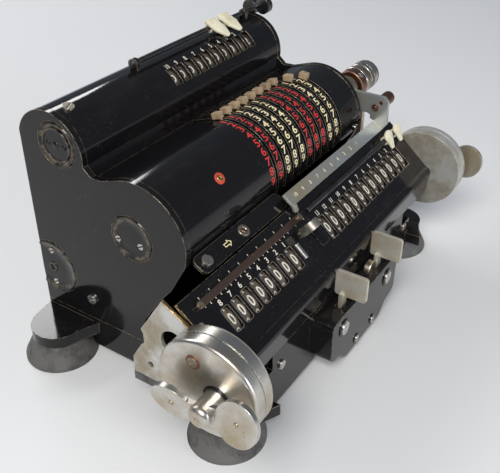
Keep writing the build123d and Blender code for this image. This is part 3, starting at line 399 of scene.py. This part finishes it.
grip_wood = make_moulded("dark_wood", (0.10, 0.045, 0.025), (0.03, 0.016, 0.012), 0.25, 70, 0.1)
dial_black = make_moulded("dial_black", (0.06, 0.05, 0.042), (0.16, 0.13, 0.10), 0.45, 200, 0.1)
brass = make_plating("old_brass", (0.60, 0.44, 0.20), (0.30, 0.19, 0.08), (0.25, 0.45), 140)
rubbed_edge = make_rubbed_edge()
red_paint = make_figure_paint("red_figures", (0.62, 0.035, 0.03), (0.20, 0.02, 0.02))
cream_paint = make_figure_paint("cream_figures", (0.82, 0.72, 0.42), (0.48, 0.38, 0.20))
white_paint = make_figure_paint("white_figures", (0.74, 0.70, 0.60), (0.38, 0.34, 0.27))
faint_paint = make_figure_paint("faint_figures", (0.66, 0.62, 0.50), (0.40, 0.40, 0.38))
red_lacquer = make_moulded("red_lacquer", (0.62, 0.07, 0.03), (0.30, 0.03, 0.02), 0.3, 200, 0.1)

NODE_MATERIALS = {
    "base_frame": enamel, "left_side_plate": enamel, "right_side_plate": enamel,
    "bearing_covers": enamel, "drum_cover": enamel, "register_cover": enamel,
    "front_shelf": enamel_worn, "carriage_cover": enamel_worn, "key_box": enamel,
    "foot_pads": rubber, "crank_sleeve": nickel_brown, "crank": nickel_brown,
    "end_plates": matt_nickel, "left_end_drum": nickel, "right_end_drum": matt_nickel,
    "left_wing": nickel, "right_wing": nickel, "clearing_bail": bar_steel,
    "left_key": key_nickel, "right_key": key_nickel, "case_screws": nickel,
    "carriage_screws": nickel_brown, "rear_rod": dark_steel, "rod_brackets": enamel_worn,
    "check_shaft": steel, "pinwheel_drum": steel, "dial_shaft": steel, "pointer_rod": dark_steel,
    "pointer_strip": bronze, "carriage_bar": dark_steel, "bail_knob": copper_brown,
    "release_button": nickel, "rear_marker_1": ivory, "rear_marker_2": ivory,
    "front_marker_1": ivory, "front_marker_2": ivory, "crank_grip": grip_wood,
    "counter_dials": dial_black, "product_dials": dial_black,
}
for name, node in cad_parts.items():
    if name.startswith("setting_lever"):
        material = tan_metal
    elif name.startswith("check_dial"):
        material = dial_black
    else:
        material = NODE_MATERIALS[name]
    node.data.materials.clear()
    node.data.materials.append(material)


# ------------------------------------------------------------------ pieces
def finish_piece(name, bm, body, material, replaces=(), smooth=40):
    """Close a bmesh into an object that rides on a body."""
    bmesh.ops.remove_doubles(bm, verts=bm.verts, dist=1e-6)
    bmesh.ops.recalc_face_normals(bm, faces=bm.faces)
    mesh = bpy.data.meshes.new(name)
    bm.to_mesh(mesh)
    bm.free()
    mesh.materials.append(material)
    if smooth:
        mesh.shade_smooth()
        mesh.set_sharp_from_angle(angle=math.radians(smooth))
    piece = bpy.data.objects.new(name, mesh)
    bpy.context.scene.collection.objects.link(piece)
    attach(piece, body)
    if replaces:
        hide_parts(*replaces)
    return piece


def turn_profile(bm, profile, centre, along, steps=48):
    """Spin a profile of (distance along, radius) in mm about an axis through a centre."""
    side = along.orthogonal().normalized()
    points = [bm.verts.new(centre + (along * a + side * r) * MM) for a, r in profile]
    edges = [bm.edges.new(pair) for pair in zip(points, points[1:])]
    bmesh.ops.spin(bm, geom=points + edges, cent=centre, axis=along, angle=2 * math.pi,
                   steps=steps, use_merge=True)


def slab(bm, outline, out, round_corners=0.0, edge=0.0):
    """A plate from its outline of points, thickened along out, its corners and edges rounded."""
    before = set(bm.verts)
    face = bm.faces.new([bm.verts.new(p) for p in outline])
    if round_corners:
        bmesh.ops.bevel(bm, geom=list(face.verts), offset=round_corners * MM, segments=6,
                        affect="VERTICES", profile=0.5, material=-1, clamp_overlap=True)
        face = next(f for f in bm.faces if not set(f.verts) & before)
    grown = bmesh.ops.extrude_face_region(bm, geom=[face])
    top = [v for v in grown["geom"] if isinstance(v, bmesh.types.BMVert)]
    bmesh.ops.translate(bm, verts=top, vec=out * MM)
    if edge:
        own = [v for v in bm.verts if v not in before]
        bmesh.ops.recalc_face_normals(bm, faces=list({f for v in own for f in v.link_faces}))
        rim = [e for e in {e for v in own for e in v.link_edges}
               if len(e.link_faces) == 2 and e.calc_face_angle(0) > 0.9]
        bmesh.ops.bevel(bm, geom=rim, offset=edge * MM, segments=2, affect="EDGES",
                        profile=0.5, material=-1, clamp_overlap=True)


def wrap_figure(mesh, radius):
    """Cut a flat figure into bands and bend it round a wheel whose axis lies behind it."""
    bm = bmesh.new()
    bm.from_mesh(mesh)
    for band in range(-3, 4):
        bmesh.ops.bisect_plane(bm, geom=bm.verts[:] + bm.edges[:] + bm.faces[:],
                               plane_co=(0, band * 0.8 * MM, 0), plane_no=(0, 1, 0))
    for vert in bm.verts:
        turn = vert.co.y / radius
        reach = radius + vert.co.z
        vert.co.y = reach * math.sin(turn)
        vert.co.z = reach * math.cos(turn) - radius
    bm.to_mesh(mesh)
    bm.free()


def ring_faces(bm, outer, inner):
    """Faces between two closed loops of as many vertices."""
    for k in range(len(outer)):
        after = (k + 1) % len(outer)
        bm.faces.new([outer[k], outer[after], inner[after], inner[k]])


def cover_strip(bm, axis, radius, x, width, angles, steps):
    """Thin line along a round cover from one angle to another."""
    start, end = angles
    near, far = [], []
    for k in range(steps + 1):
        y, z = round_the(axis, start + (end - start) * k / steps, radius + 0.04)
        near.append(bm.verts.new(spot(x, y, z)))
        far.append(bm.verts.new(spot(x + width, y, z)))
    for k in range(steps):
        bm.faces.new([near[k], near[k + 1], far[k + 1], far[k]])


def write_figure(bm, text, height, matrix, stretch=1.0, lift=0.03, wheel=0.0):
    """Add a figure, its middle at the matrix's place, to a bmesh."""
    curve = bpy.data.curves.new("figure", "FONT")
    curve.body = text
    curve.size = height * MM / 0.7
    curve.align_x = "CENTER"
    curve.resolution_u = 3
    curve.extrude = lift * MM
    curve.offset = 0.018 * height * MM
    holder = bpy.data.objects.new("figure", curve)
    mesh = bpy.data.meshes.new_from_object(holder)
    middle = Matrix.Translation((0, -height * MM / 2, 0))
    mesh.transform(Matrix.Diagonal((stretch, 1, 1, 1)) @ middle)
    if wheel:
        wrap_figure(mesh, wheel * MM)
    mesh.transform(matrix)
    bm.from_mesh(mesh)
    bpy.data.objects.remove(holder)
    bpy.data.curves.remove(curve)
    bpy.data.meshes.remove(mesh)


def tangent(axis, angle, radius, x, lift=0.03):
    """Matrix of a figure lying on a round cover, its top up the curve."""
    turn = math.radians(angle)
    up = Vector((0, math.sin(turn), math.cos(turn)))
    return standing(spot(x, *round_the(axis, angle, radius + lift)), ACROSS, up)


def drum_figures():
    """The nine figures beside each slot, red, cream, red and cream by groups of columns."""
    red, cream = bmesh.new(), bmesh.new()
    for number, x in enumerate(COLUMNS, start=1):
        bm = red if number in (3, 4, 5, 9, 10) else cream
        for digit in range(1, 10):
            place = tangent(DRUM, LEVER_ZERO - DIGIT_STEP * digit, DRUM_SURFACE, x - 3.4)
            write_figure(bm, str(digit), 3.9, place, 1.2, wheel=DRUM_SURFACE)
    finish_piece("drum_figures_red", red, "case", red_paint, smooth=0)
    finish_piece("drum_figures_cream", cream, "case", cream_paint, smooth=0)


def check_figures():
    """Ten figures round each check wheel, and the column numbers over the windows."""
    for number, x in enumerate(COLUMNS, start=1):
        bm = bmesh.new()
        for digit in range(10):
            angle = WINDOW_ANGLE + 36 * (digit - SETTINGS.get(number, 0))
            write_figure(bm, str(digit), 4.0, tangent(CHECK_AXIS, angle, CHECK_RADIUS, x),
                         wheel=CHECK_RADIUS)
        finish_piece(f"check_figures_{number}", bm, f"check_wheel_{number}", white_paint,
                     smooth=0)
    bm = bmesh.new()
    for number, x in enumerate(COLUMNS, start=1):
        write_figure(bm, str(number), 2.6, tangent(REGISTER, 64, REGISTER_SURFACE, x), 0.8)
    finish_piece("check_numbers", bm, "case", white_paint, smooth=0)


def slope_tick(bm, x, low, high, width, lift=0.0):
    """Painted tick on the carriage face, between two heights above the window row."""
    corner = on_slope(x, low, lift)
    half = ACROSS * (width / 2)
    tall = SLOPE_UP * (high - low)
    outline = [corner + place * MM for place in (-half, half, half + tall, tall - half)]
    slab(bm, outline, SLOPE_OUT * 0.05)


def dial_figures(name, body, places):
    """Ten figures round each wheel of a carriage register."""
    dial = (WINDOW_ROW[0] + DIAL_DEPTH * math.sin(SLOPE),
            WINDOW_ROW[1] - DIAL_DEPTH * math.cos(SLOPE))
    facing = 90 - math.degrees(SLOPE)
    bm = bmesh.new()
    for x in places:
        for digit in range(10):
            place = tangent(dial, facing + 36 * digit, DIAL_RADIUS, x)
            write_figure(bm, str(digit), 5.2, place, 0.75, wheel=DIAL_RADIUS)
    finish_piece(name, bm, body, white_paint, smooth=0)


def carriage_figures():
    """Column numbers and ticks painted over the carriage windows."""
    bm = bmesh.new()
    for number, x in zip(range(8, 0, -1), COUNTER_X):
        write_figure(bm, str(number), 2.6, standing(on_slope(x, 7.9, 0.03), ACROSS, SLOPE_UP))
    for number, x in zip(range(1, 14), PRODUCT_X):
        place = standing(on_slope(x, 8.2, 0.03), ACROSS, SLOPE_UP)
        write_figure(bm, str(number), 2.4, place, 0.8)
    for x in COUNTER_X:
        for side in (-1, 1):
            slope_tick(bm, x + side * COLUMN_PITCH / 2, 9.8, 11.0, 0.4)
    finish_piece("carriage_numbers", bm, "carriage", white_paint, smooth=0)


drum_figures()
check_figures()
dial_figures("counter_figures", "counter_register", COUNTER_X)
dial_figures("product_figures", "product_register", PRODUCT_X)
carriage_figures()


def add_dome(bm, centre, out, radius, height):
    """Low round head standing on a surface."""
    steps = 6
    arc = [(height * math.sin(math.pi / 2 * k / steps), radius * math.cos(math.pi / 2 * k / steps))
           for k in range(steps + 1)]
    turn_profile(bm, [(-0.1, radius), *arc], centre, out, 24)


def add_ring(bm, centre, out, inner, outer, height, steps=36):
    """Flat ring with softened edges standing on a surface."""
    soft = min(height, outer - inner) * 0.3
    turn_profile(bm, [(-0.1, inner), (height - soft, inner), (height, inner + soft),
                      (height, outer - soft), (height - soft, outer), (-0.1, outer)],
                 centre, out, steps)


def make_disc_covers():
    """Raised round covers on the left plate, the lowest cut off at the rear edge."""
    bm = bmesh.new()
    for y, z, radius in DISCS:
        rim = [(-0.5, radius), (0.5, radius), (1.0, radius - 0.5), (1.0, radius - 1.1),
               (0.55, radius - 1.8), (0.75, radius * 0.5), (0.8, 0)]
        turn_profile(bm, rim, spot(LEFT_PLATE_X + 0.6, y, z), TO_LEFT, 72)
    bmesh.ops.bisect_plane(bm, geom=bm.verts[:] + bm.edges[:] + bm.faces[:],
                           plane_co=spot(0, WALL_BACK_Y, 0), plane_no=(0, 1, 0),
                           clear_outer=True)
    finish_piece("disc_covers", bm, "case", enamel_worn, ("bearing_covers",))


def make_disc_bosses():
    """Ring and three round heads on the upper cover, and a ring on the lowest one."""
    bm = bmesh.new()
    y, z, radius = DISCS[0]
    add_ring(bm, spot(LEFT_PLATE_X, y, z), TO_LEFT, radius - 3.4, radius - 2.6, 0.5)
    for step, size in ((-4.6, 1.3), (0, 1.7), (4.6, 1.3)):
        add_dome(bm, spot(LEFT_PLATE_X, y + step, z), TO_LEFT, size, 0.9)
    y, z, radius = DISCS[2]
    add_ring(bm, spot(LEFT_PLATE_X, y + 0.3, z), TO_LEFT, 1.5, 2.6, 0.7)
    finish_piece("disc_bosses", bm, "case", enamel_worn)


def make_sunk_rings():
    """Dark rims round the key box screws, rims round the screws of the cups, and painted shadow: a
    black ring round each cup's bore at the base of the wing hub.
    """
    bm = bmesh.new()
    for x in KEY_PIVOT_X:
        add_ring(bm, spot(x, BOX_FRONT_Y, BOX_SCREW_Z), AHEAD, 3.5, 4.7, 0.5)
    for x, z in BOX_LOW_SCREWS:
        add_ring(bm, spot(x, BOX_FRONT_Y, z), AHEAD, 2.0, 2.8, 0.4)
    finish_piece("box_screw_rims", bm, "case", rim_black_and_bore_shade)
    screws, bores = bmesh.new(), bmesh.new()
    for x, out in ((LEFT_CAP_X, TO_LEFT), (RIGHT_CAP_X, ACROSS)):
        add_ring(screws, spot(x, *CUP_SCREW), out, 2.25, 3.2, 0.3)
        # The black ring round each bore is painted shadow where the wing hub meets the cup.
        add_ring(bores, spot(x, *WING_AXIS), out, CUP_BORE_RADIUS, 6.0, 0.35)
    finish_piece("cup_screw_rims", screws, "carriage", copper_brown)
    finish_piece("cup_bore_shade_rings", bores, "carriage", rim_black_and_bore_shade)


def make_wing_pips():
    """Small struck pips in the lobes and a pin in the end of each hub."""
    for name, body, cap_x, out in (("left_wing_pips", "left_clearing_wing", LEFT_CAP_X, -1),
                                   ("right_wing_pips", "right_clearing_wing", RIGHT_CAP_X, 1)):
        bm = bmesh.new()
        for side in (-1, 1):
            along = Vector((0, side * math.cos(WING_TILT), -side * math.sin(WING_TILT)))
            turned = out * side * math.sin(WING_TWIST)
            outward = Vector((out * math.cos(WING_TWIST), turned * math.sin(WING_TILT),
                              turned * math.cos(WING_TILT)))
            centre = spot(cap_x + out * LOBE_FACE, *WING_AXIS) + along * LOBE_REACH * MM
            add_ring(bm, centre, outward, 0.5, 1.1, 0.35, 20)
        hub_end = spot(cap_x + out * (WING_HUB_END - 0.1), *WING_AXIS)
        add_ring(bm, hub_end, ACROSS * out, 0.6, 1.2, 0.3, 20)
        finish_piece(name, bm, body, nickel_brown)


def make_oil_hole():
    """Red enamel ring round a brass oiler on the drum cover."""
    x, angle = OILER
    place = spot(x, *round_the(DRUM, angle, DRUM_SURFACE))
    out = Vector((0, -math.cos(math.radians(angle)), math.sin(math.radians(angle))))
    bm = bmesh.new()
    add_ring(bm, place, out, 1.5, 2.7, 0.35)
    finish_piece("oiler_ring", bm, "case", red_lacquer)
    bm = bmesh.new()
    add_ring(bm, place, out, 0.55, 1.5, 0.6)
    finish_piece("oiler", bm, "case", brass)


def make_shelf_arrow():
    """Outline of an arrow painted on the front shelf."""
    up = Vector((0, math.cos(SHELF_RISE), math.sin(SHELF_RISE)))
    out = Vector((0, -math.sin(SHELF_RISE), math.cos(SHELF_RISE)))
    arrow = [(-1.6, 0.9), (1.2, 0.9), (1.2, 2.0), (3.4, 0.0), (1.2, -2.0), (1.2, -0.9),
             (-1.6, -0.9)]
    inner = [(-1.2, 0.5), (1.6, 0.5), (1.6, 1.1), (2.7, 0.0), (1.6, -1.1), (1.6, -0.5),
             (-1.2, -0.5)]
    middle = spot(-57, *SHELF_MIDDLE) + out * 0.05 * MM
    bm = bmesh.new()
    loops = [[bm.verts.new(middle + (ACROSS * x + up * y) * MM) for x, y in outline]
             for outline in (arrow, inner)]
    ring_faces(bm, *loops)
    finish_piece("shelf_arrow", bm, "case", cream_paint, smooth=0)


def make_shelf_eyelet():
    """Browned eyelet with a copper pin on the front shelf."""
    out = Vector((0, -math.sin(SHELF_RISE), math.cos(SHELF_RISE)))
    place = spot(-44.2, *SHELF_MIDDLE)
    bm = bmesh.new()
    add_ring(bm, place, out, 1.2, 3.0, 0.7)
    finish_piece("shelf_eyelet", bm, "case", nickel_brown)
    bm = bmesh.new()
    add_dome(bm, place, out, 1.3, 0.8)
    finish_piece("shelf_eyelet_pin", bm, "case", copper_brown)


def make_slot_edges():
    """Rubbed bright edges along the slots of the drum cover."""
    bm = bmesh.new()
    for x in COLUMNS:
        for edge, width in ((-1.0, -0.28), (1.0, 0.2)):
            cover_strip(bm, DRUM, DRUM_SURFACE, x + edge, width, (-12, 112), 40)
    finish_piece("slot_edges", bm, "case", rubbed_edge, smooth=0)


def window_loop(bm, centre, wide, tall, corner):
    """Vertices round a window of the carriage face, its corners rounded."""
    loop = []
    for side, end, start in ((1, 1, 0), (-1, 1, 90), (-1, -1, 180), (1, -1, 270)):
        for step in range(5):
            angle = math.radians(start + 22.5 * step)
            along = side * (wide - corner) + corner * math.cos(angle)
            up = end * (tall - corner) + corner * math.sin(angle)
            loop.append(bm.verts.new(centre + (ACROSS * along + SLOPE_UP * up) * MM))
    return loop


def make_window_rims():
    """Rubbed rims of the carriage windows and of the check windows."""
    bm = bmesh.new()
    for places, height, corner in ((COUNTER_X, 11.0, 1.0), (PRODUCT_X, 12.0, 0.3)):
        for x in places:
            centre = on_slope(x, 0, 0.05)
            inner, outer = [window_loop(bm, centre, 2.5 + grow, height / 2 + grow, corner + grow)
                            for grow in (0.0, 0.32)]
            ring_faces(bm, outer, inner)
    finish_piece("window_rims", bm, "carriage", rubbed_edge, smooth=0)
    bm = bmesh.new()
    angles = WINDOW_ANGLE - 14.2, WINDOW_ANGLE + 14.2
    for x in COLUMNS:
        for side in (-1, 1):
            cover_strip(bm, REGISTER, REGISTER_SURFACE, x + side * 2.4, side * 0.35, angles, 8)
    finish_piece("check_window_rims", bm, "case", rubbed_edge, smooth=0)


def make_strip_ticks():
    """Painted ticks along both sides of the pointer strip."""
    bm = bmesh.new()
    for k in range(12):
        for low, high in ((10.1, 10.8), (14.3, 15.3)):
            slope_tick(bm, -88.6 + COLUMN_PITCH * k, low, high, 0.36, 0.02)
    finish_piece("strip_ticks", bm, "carriage", white_paint, smooth=0)


def make_bail_rivet():
    """Copper rivet in the bail arm."""
    bm = bmesh.new()
    add_ring(bm, spot(*BAIL_RIVET), TO_LEFT, 1.3, 2.1, 0.35)
    add_dome(bm, spot(*BAIL_RIVET), TO_LEFT, 1.25, 0.6)
    finish_piece("bail_rivet", bm, "bail", copper_brown)


def make_bail_numbers():
    """Faint column numbers on the bail strip."""
    up = Vector((0, math.cos(BAIL_RISE), math.sin(BAIL_RISE)))
    out = Vector((0, -math.sin(BAIL_RISE), math.cos(BAIL_RISE)))
    bm = bmesh.new()
    for number, x in enumerate(COLUMNS, start=1):
        place = spot(x, *BAIL_STRIP) + out * 0.04 * MM
        write_figure(bm, str(number), 2.0, standing(place, ACROSS, up))
    finish_piece("bail_numbers", bm, "bail", faint_paint, smooth=0)


def add_pointer(name, body, node, rod, outline, lean, lift, thick, sleeve, corner=0.0):
    """Flat ivory pointer with a sleeve round its rod; lean is its upward direction."""
    up = Vector((0, math.cos(lean), math.sin(lean)))
    out = Vector((0, -math.sin(lean), math.cos(lean)))
    half, bore = sleeve
    bm = bmesh.new()
    centre = rod + out * lift * MM
    slab(bm, [centre + (ACROSS * a + up * b) * MM for a, b in outline], out * thick,
         round_corners=corner, edge=0.35)
    turn_profile(bm, [(-half, bore), (-half, 2.3), (half, 2.3), (half, bore), (-half, bore)],
                 rod, ACROSS, 24)
    finish_piece(name, bm, body, ivory, (node,))


def make_front_pointers():
    """Ivory pointers on the front rod: a round shield with a short tip."""
    outline = [(-1.3, -5.6), (1.3, -5.6), (2.5, -2.2)]
    for k in range(13):
        angle = math.radians(-32 + 244 * k / 12)
        outline.append((4.1 * math.cos(angle), 1.5 + 3.2 * math.sin(angle)))
    outline.append((-2.5, -2.2))
    for number, x in enumerate(FRONT_MARKER_X, start=1):
        add_pointer(f"front_pointer_{number}", f"front_marker_{'ab'[number - 1]}",
                    f"front_marker_{number}", on_slope(x, 12.5, 2.4), outline, POINTER_LEAN,
                    1.5, 1.3, (2.6, 1.46))


def make_rear_pointers():
    """Ivory pointers on the rear rod: a broad flag with a tip over the windows."""
    outline = [(-3.9, 3.2), (3.9, 3.2), (4.2, -4.2), (1.2, -10.6), (0.0, -11.0), (-1.4, -10.4),
               (-4.2, -4.6)]
    for number, x in enumerate(REAR_MARKER_X, start=1):
        add_pointer(f"rear_pointer_{number}", f"rear_marker_{'ab'[number - 1]}",
                    f"rear_marker_{number}", spot(x, *ROD_AXIS), outline, FLAG_LEAN,
                    1.45, 1.5, (3.0, 1.36), 0.6)


def turn_at(bm, axis, start, profile):
    """Spin a profile of (distance, radius) that starts at a place along an axis of X."""
    shifted = [(start + distance, radius) for distance, radius in profile]
    turn_profile(bm, shifted, axis, ACROSS, 64)


def make_crank_trim():
    """Copper eye, bright ring and domed steel cap over the crank hub."""
    place = spot(0, *DRUM)
    bm = bmesh.new()
    turn_at(bm, place, CRANK_EYE_X, [(0, 4.3), (0, 8.2), (0.5, 8.75), (6.4, 8.75), (6.8, 8.4),
                                     (6.8, 4.3)])
    finish_piece("crank_eye", bm, "drum", copper_brown)
    bm = bmesh.new()
    turn_at(bm, place, CRANK_CAP_X, [(0, 4.3), (0, 8.7), (0.4, 9.0), (1.8, 9.0), (2.3, 8.6),
                                     (2.3, 4.3)])
    turn_at(bm, place, CRANK_CAP_X, [(6.6, 4.3), (6.6, 8.5), (6.9, 8.8), (8.0, 8.8), (8.3, 8.0)])
    turn_at(bm, place, CRANK_CAP_X, [(9.8, 8.0), (10.1, 8.9), (13.6, 9.0), (16.0, 8.2),
                                     (17.8, 6.4), (18.8, 3.6), (19.1, 0)])
    finish_piece("crank_cap", bm, "drum", steel)
    turn = math.radians(40)
    side = Vector((0, -math.sin(turn), math.cos(turn)))
    bm = bmesh.new()
    screw = place + ACROSS * (CRANK_EYE_X + 3.6) * MM + side * 8.7 * MM
    add_ring(bm, screw, side, 0.7, 1.7, 0.3, 24)
    finish_piece("crank_set_screw", bm, "drum", steel)


def make_end_edging():
    """Thin brass edging over the left end plate."""
    low, high = spot(EDGING_X, -41.6, 63.4), spot(EDGING_X, -27.9, 71.4)
    wide = ACROSS * 1.5 * MM
    bm = bmesh.new()
    slab(bm, [low, high, high + wide, low + wide], Vector((0, -0.5, 0.86)) * 0.5, edge=0.12)
    finish_piece("end_edging", bm, "carriage", brass)


def make_button_pad():
    """Raised enamelled pad beside the release button."""
    pad = [(-13.6, -5.2), (-6.6, -5.2), (-6.6, 4.6), (-13.6, 4.6)]
    bm = bmesh.new()
    slab(bm, [on_slope(x, up, 0) for x, up in pad], SLOPE_OUT * 0.6, round_corners=1.4, edge=0.25)
    finish_piece("button_pad", bm, "carriage", enamel)


def make_stop_roller():
    """Bright half-round stop beside the last counter window."""
    steps, radius = 10, 1.4
    arc = [(-26.6 + radius * math.cos(math.pi * k / steps), radius * math.sin(math.pi * k / steps))
           for k in range(steps + 1)]
    bm = bmesh.new()
    near = [bm.verts.new(on_slope(x, -3.6, h)) for x, h in arc]
    far = [bm.verts.new(on_slope(x, 4.2, h)) for x, h in arc]
    for k in range(steps):
        bm.faces.new([near[k], near[k + 1], far[k + 1], far[k]])
    bm.faces.new(near)
    bm.faces.new(far)
    finish_piece("stop_roller", bm, "carriage", nickel)


def make_key_boss():
    """Round boss beside the right key."""
    bm = bmesh.new()
    turn_profile(bm, [(-1.6, 0), (-1.6, 4.3), (-1.2, 4.7), (1.2, 4.7), (1.6, 4.3), (1.6, 0)],
                 spot(14.2, -65.0, 32.0), Vector((0, 1, 0)), 40)
    finish_piece("key_boss", bm, "case", nickel_brown)


def make_key_fold(name, body, x):
    """Rear edge of a thumb plate, folded back in a quarter turn."""
    steps, low, high = 6, 38.4, 49.2
    bm = bmesh.new()
    rings = []
    for k in range(steps + 1):
        turn = math.radians(75 * k / steps)
        rings.append([bm.verts.new(spot(x + 1.6 - radius * math.cos(turn),
                                        -62.4 + radius * math.sin(turn), z))
                      for radius in (2.4, 0.8) for z in (low, high)])
    for first, second in zip(rings, rings[1:]):
        for a, b in ((0, 1), (1, 3), (3, 2), (2, 0)):
            bm.faces.new([first[a], first[b], second[b], second[a]])
    for ring in (rings[0], rings[-1]):
        bm.faces.new([ring[k] for k in (0, 1, 3, 2)])
    finish_piece(name, bm, body, nickel)


make_disc_covers()
make_disc_bosses()
make_sunk_rings()
make_wing_pips()
make_oil_hole()
make_shelf_arrow()
make_shelf_eyelet()
make_slot_edges()
make_window_rims()
make_strip_ticks()
make_bail_rivet()
make_bail_numbers()
make_front_pointers()
make_rear_pointers()
make_crank_trim()
make_end_edging()
make_button_pad()
make_stop_roller()
make_key_boss()
make_key_fold("left_key_fold", "left_shift_key", KEY_X[0])
make_key_fold("right_key_fold", "right_shift_key", KEY_X[1])


# ------------------------------------------------------------------ room and camera
CAMERA_PLACE = (-269.8, -178.0, 252.0)
CAMERA_ANGLES = (-57.06, 33.84, 0.30)
CAMERA_LENS = 53.72


def plain_material(name, colour, rough):
    material, tree, shader = start_material(name)
    mottled = blend_colour(tree, noise_node(tree, 3), colour, tuple(c * 0.97 for c in colour))
    tree.links.new(mottled, shader.inputs["Base Color"])
    shader.inputs["Roughness"].default_value = rough
    return material


def make_room():
    """Pale flat floor under an even sky that shows white to the camera alone."""
    bm = bmesh.new()
    bmesh.ops.create_grid(bm, x_segments=2, y_segments=2, size=3.0)
    mesh = bpy.data.meshes.new("floor")
    bm.to_mesh(mesh)
    bm.free()
    mesh.materials.append(plain_material("pale_floor", (0.78, 0.79, 0.80), 0.7))
    floor = bpy.data.objects.new("floor", mesh)
    bpy.context.scene.collection.objects.link(floor)
    world = bpy.data.worlds.new("studio")
    world.use_nodes = True
    tree = world.node_tree
    light = tree.nodes["Background"]
    seen = add_node(tree, "ShaderNodeLightPath").outputs["Is Camera Ray"]
    tree.links.new(blend_colour(tree, seen, (0.50, 0.56, 0.66), (0.94, 0.95, 0.97)),
                   light.inputs["Color"])
    tree.links.new(blend_value(tree, seen, 0.28, 1.0), light.inputs["Strength"])
    bpy.context.scene.world = world


def add_lamp(name, place, target, size, watts, colour=(1, 1, 1)):
    light = bpy.data.lights.new(name, "AREA")
    light.shape = "RECTANGLE"
    light.size, light.size_y = size
    light.energy = watts
    light.color = colour
    lamp = bpy.data.objects.new(name, light)
    lamp.location = place
    lamp.rotation_euler = (Vector(target) - Vector(place)).to_track_quat("-Z", "Y").to_euler()
    bpy.context.scene.collection.objects.link(lamp)


def make_camera():
    """Camera where the photograph was taken from, with its lens."""
    azimuth, elevation, roll = [math.radians(angle) for angle in CAMERA_ANGLES]
    ahead = Vector((-math.sin(azimuth) * math.cos(elevation),
                    math.cos(azimuth) * math.cos(elevation), -math.sin(elevation)))
    right = ahead.cross(Vector((0, 0, 1))).normalized()
    up = right.cross(ahead)
    tilted_right = right * math.cos(roll) + up * math.sin(roll)
    tilted_up = up * math.cos(roll) - right * math.sin(roll)
    data = bpy.data.cameras.new("camera")
    data.sensor_width = 36
    data.lens = CAMERA_LENS
    data.clip_start = 0.01
    camera = bpy.data.objects.new("camera", data)
    turned = Matrix((tilted_right, tilted_up, -ahead)).transposed().to_4x4()
    camera.matrix_world = Matrix.Translation(spot(*CAMERA_PLACE)) @ turned
    bpy.context.scene.collection.objects.link(camera)
    bpy.context.scene.camera = camera


make_room()
add_lamp("key", (-0.9, -0.35, 1.0), (0, 0, 0.05), (0.7, 0.5), 15, (1.0, 0.97, 0.93))
add_lamp("fill", (0.05, -1.25, 0.35), (0, 0, 0.05), (0.5, 0.4), 6, (0.93, 0.96, 1.0))
add_lamp("back", (0.35, 1.1, 0.9), (0, 0, 0.08), (1.2, 0.25), 9)
make_camera()
bpy.context.scene.view_settings.view_transform = "Standard"
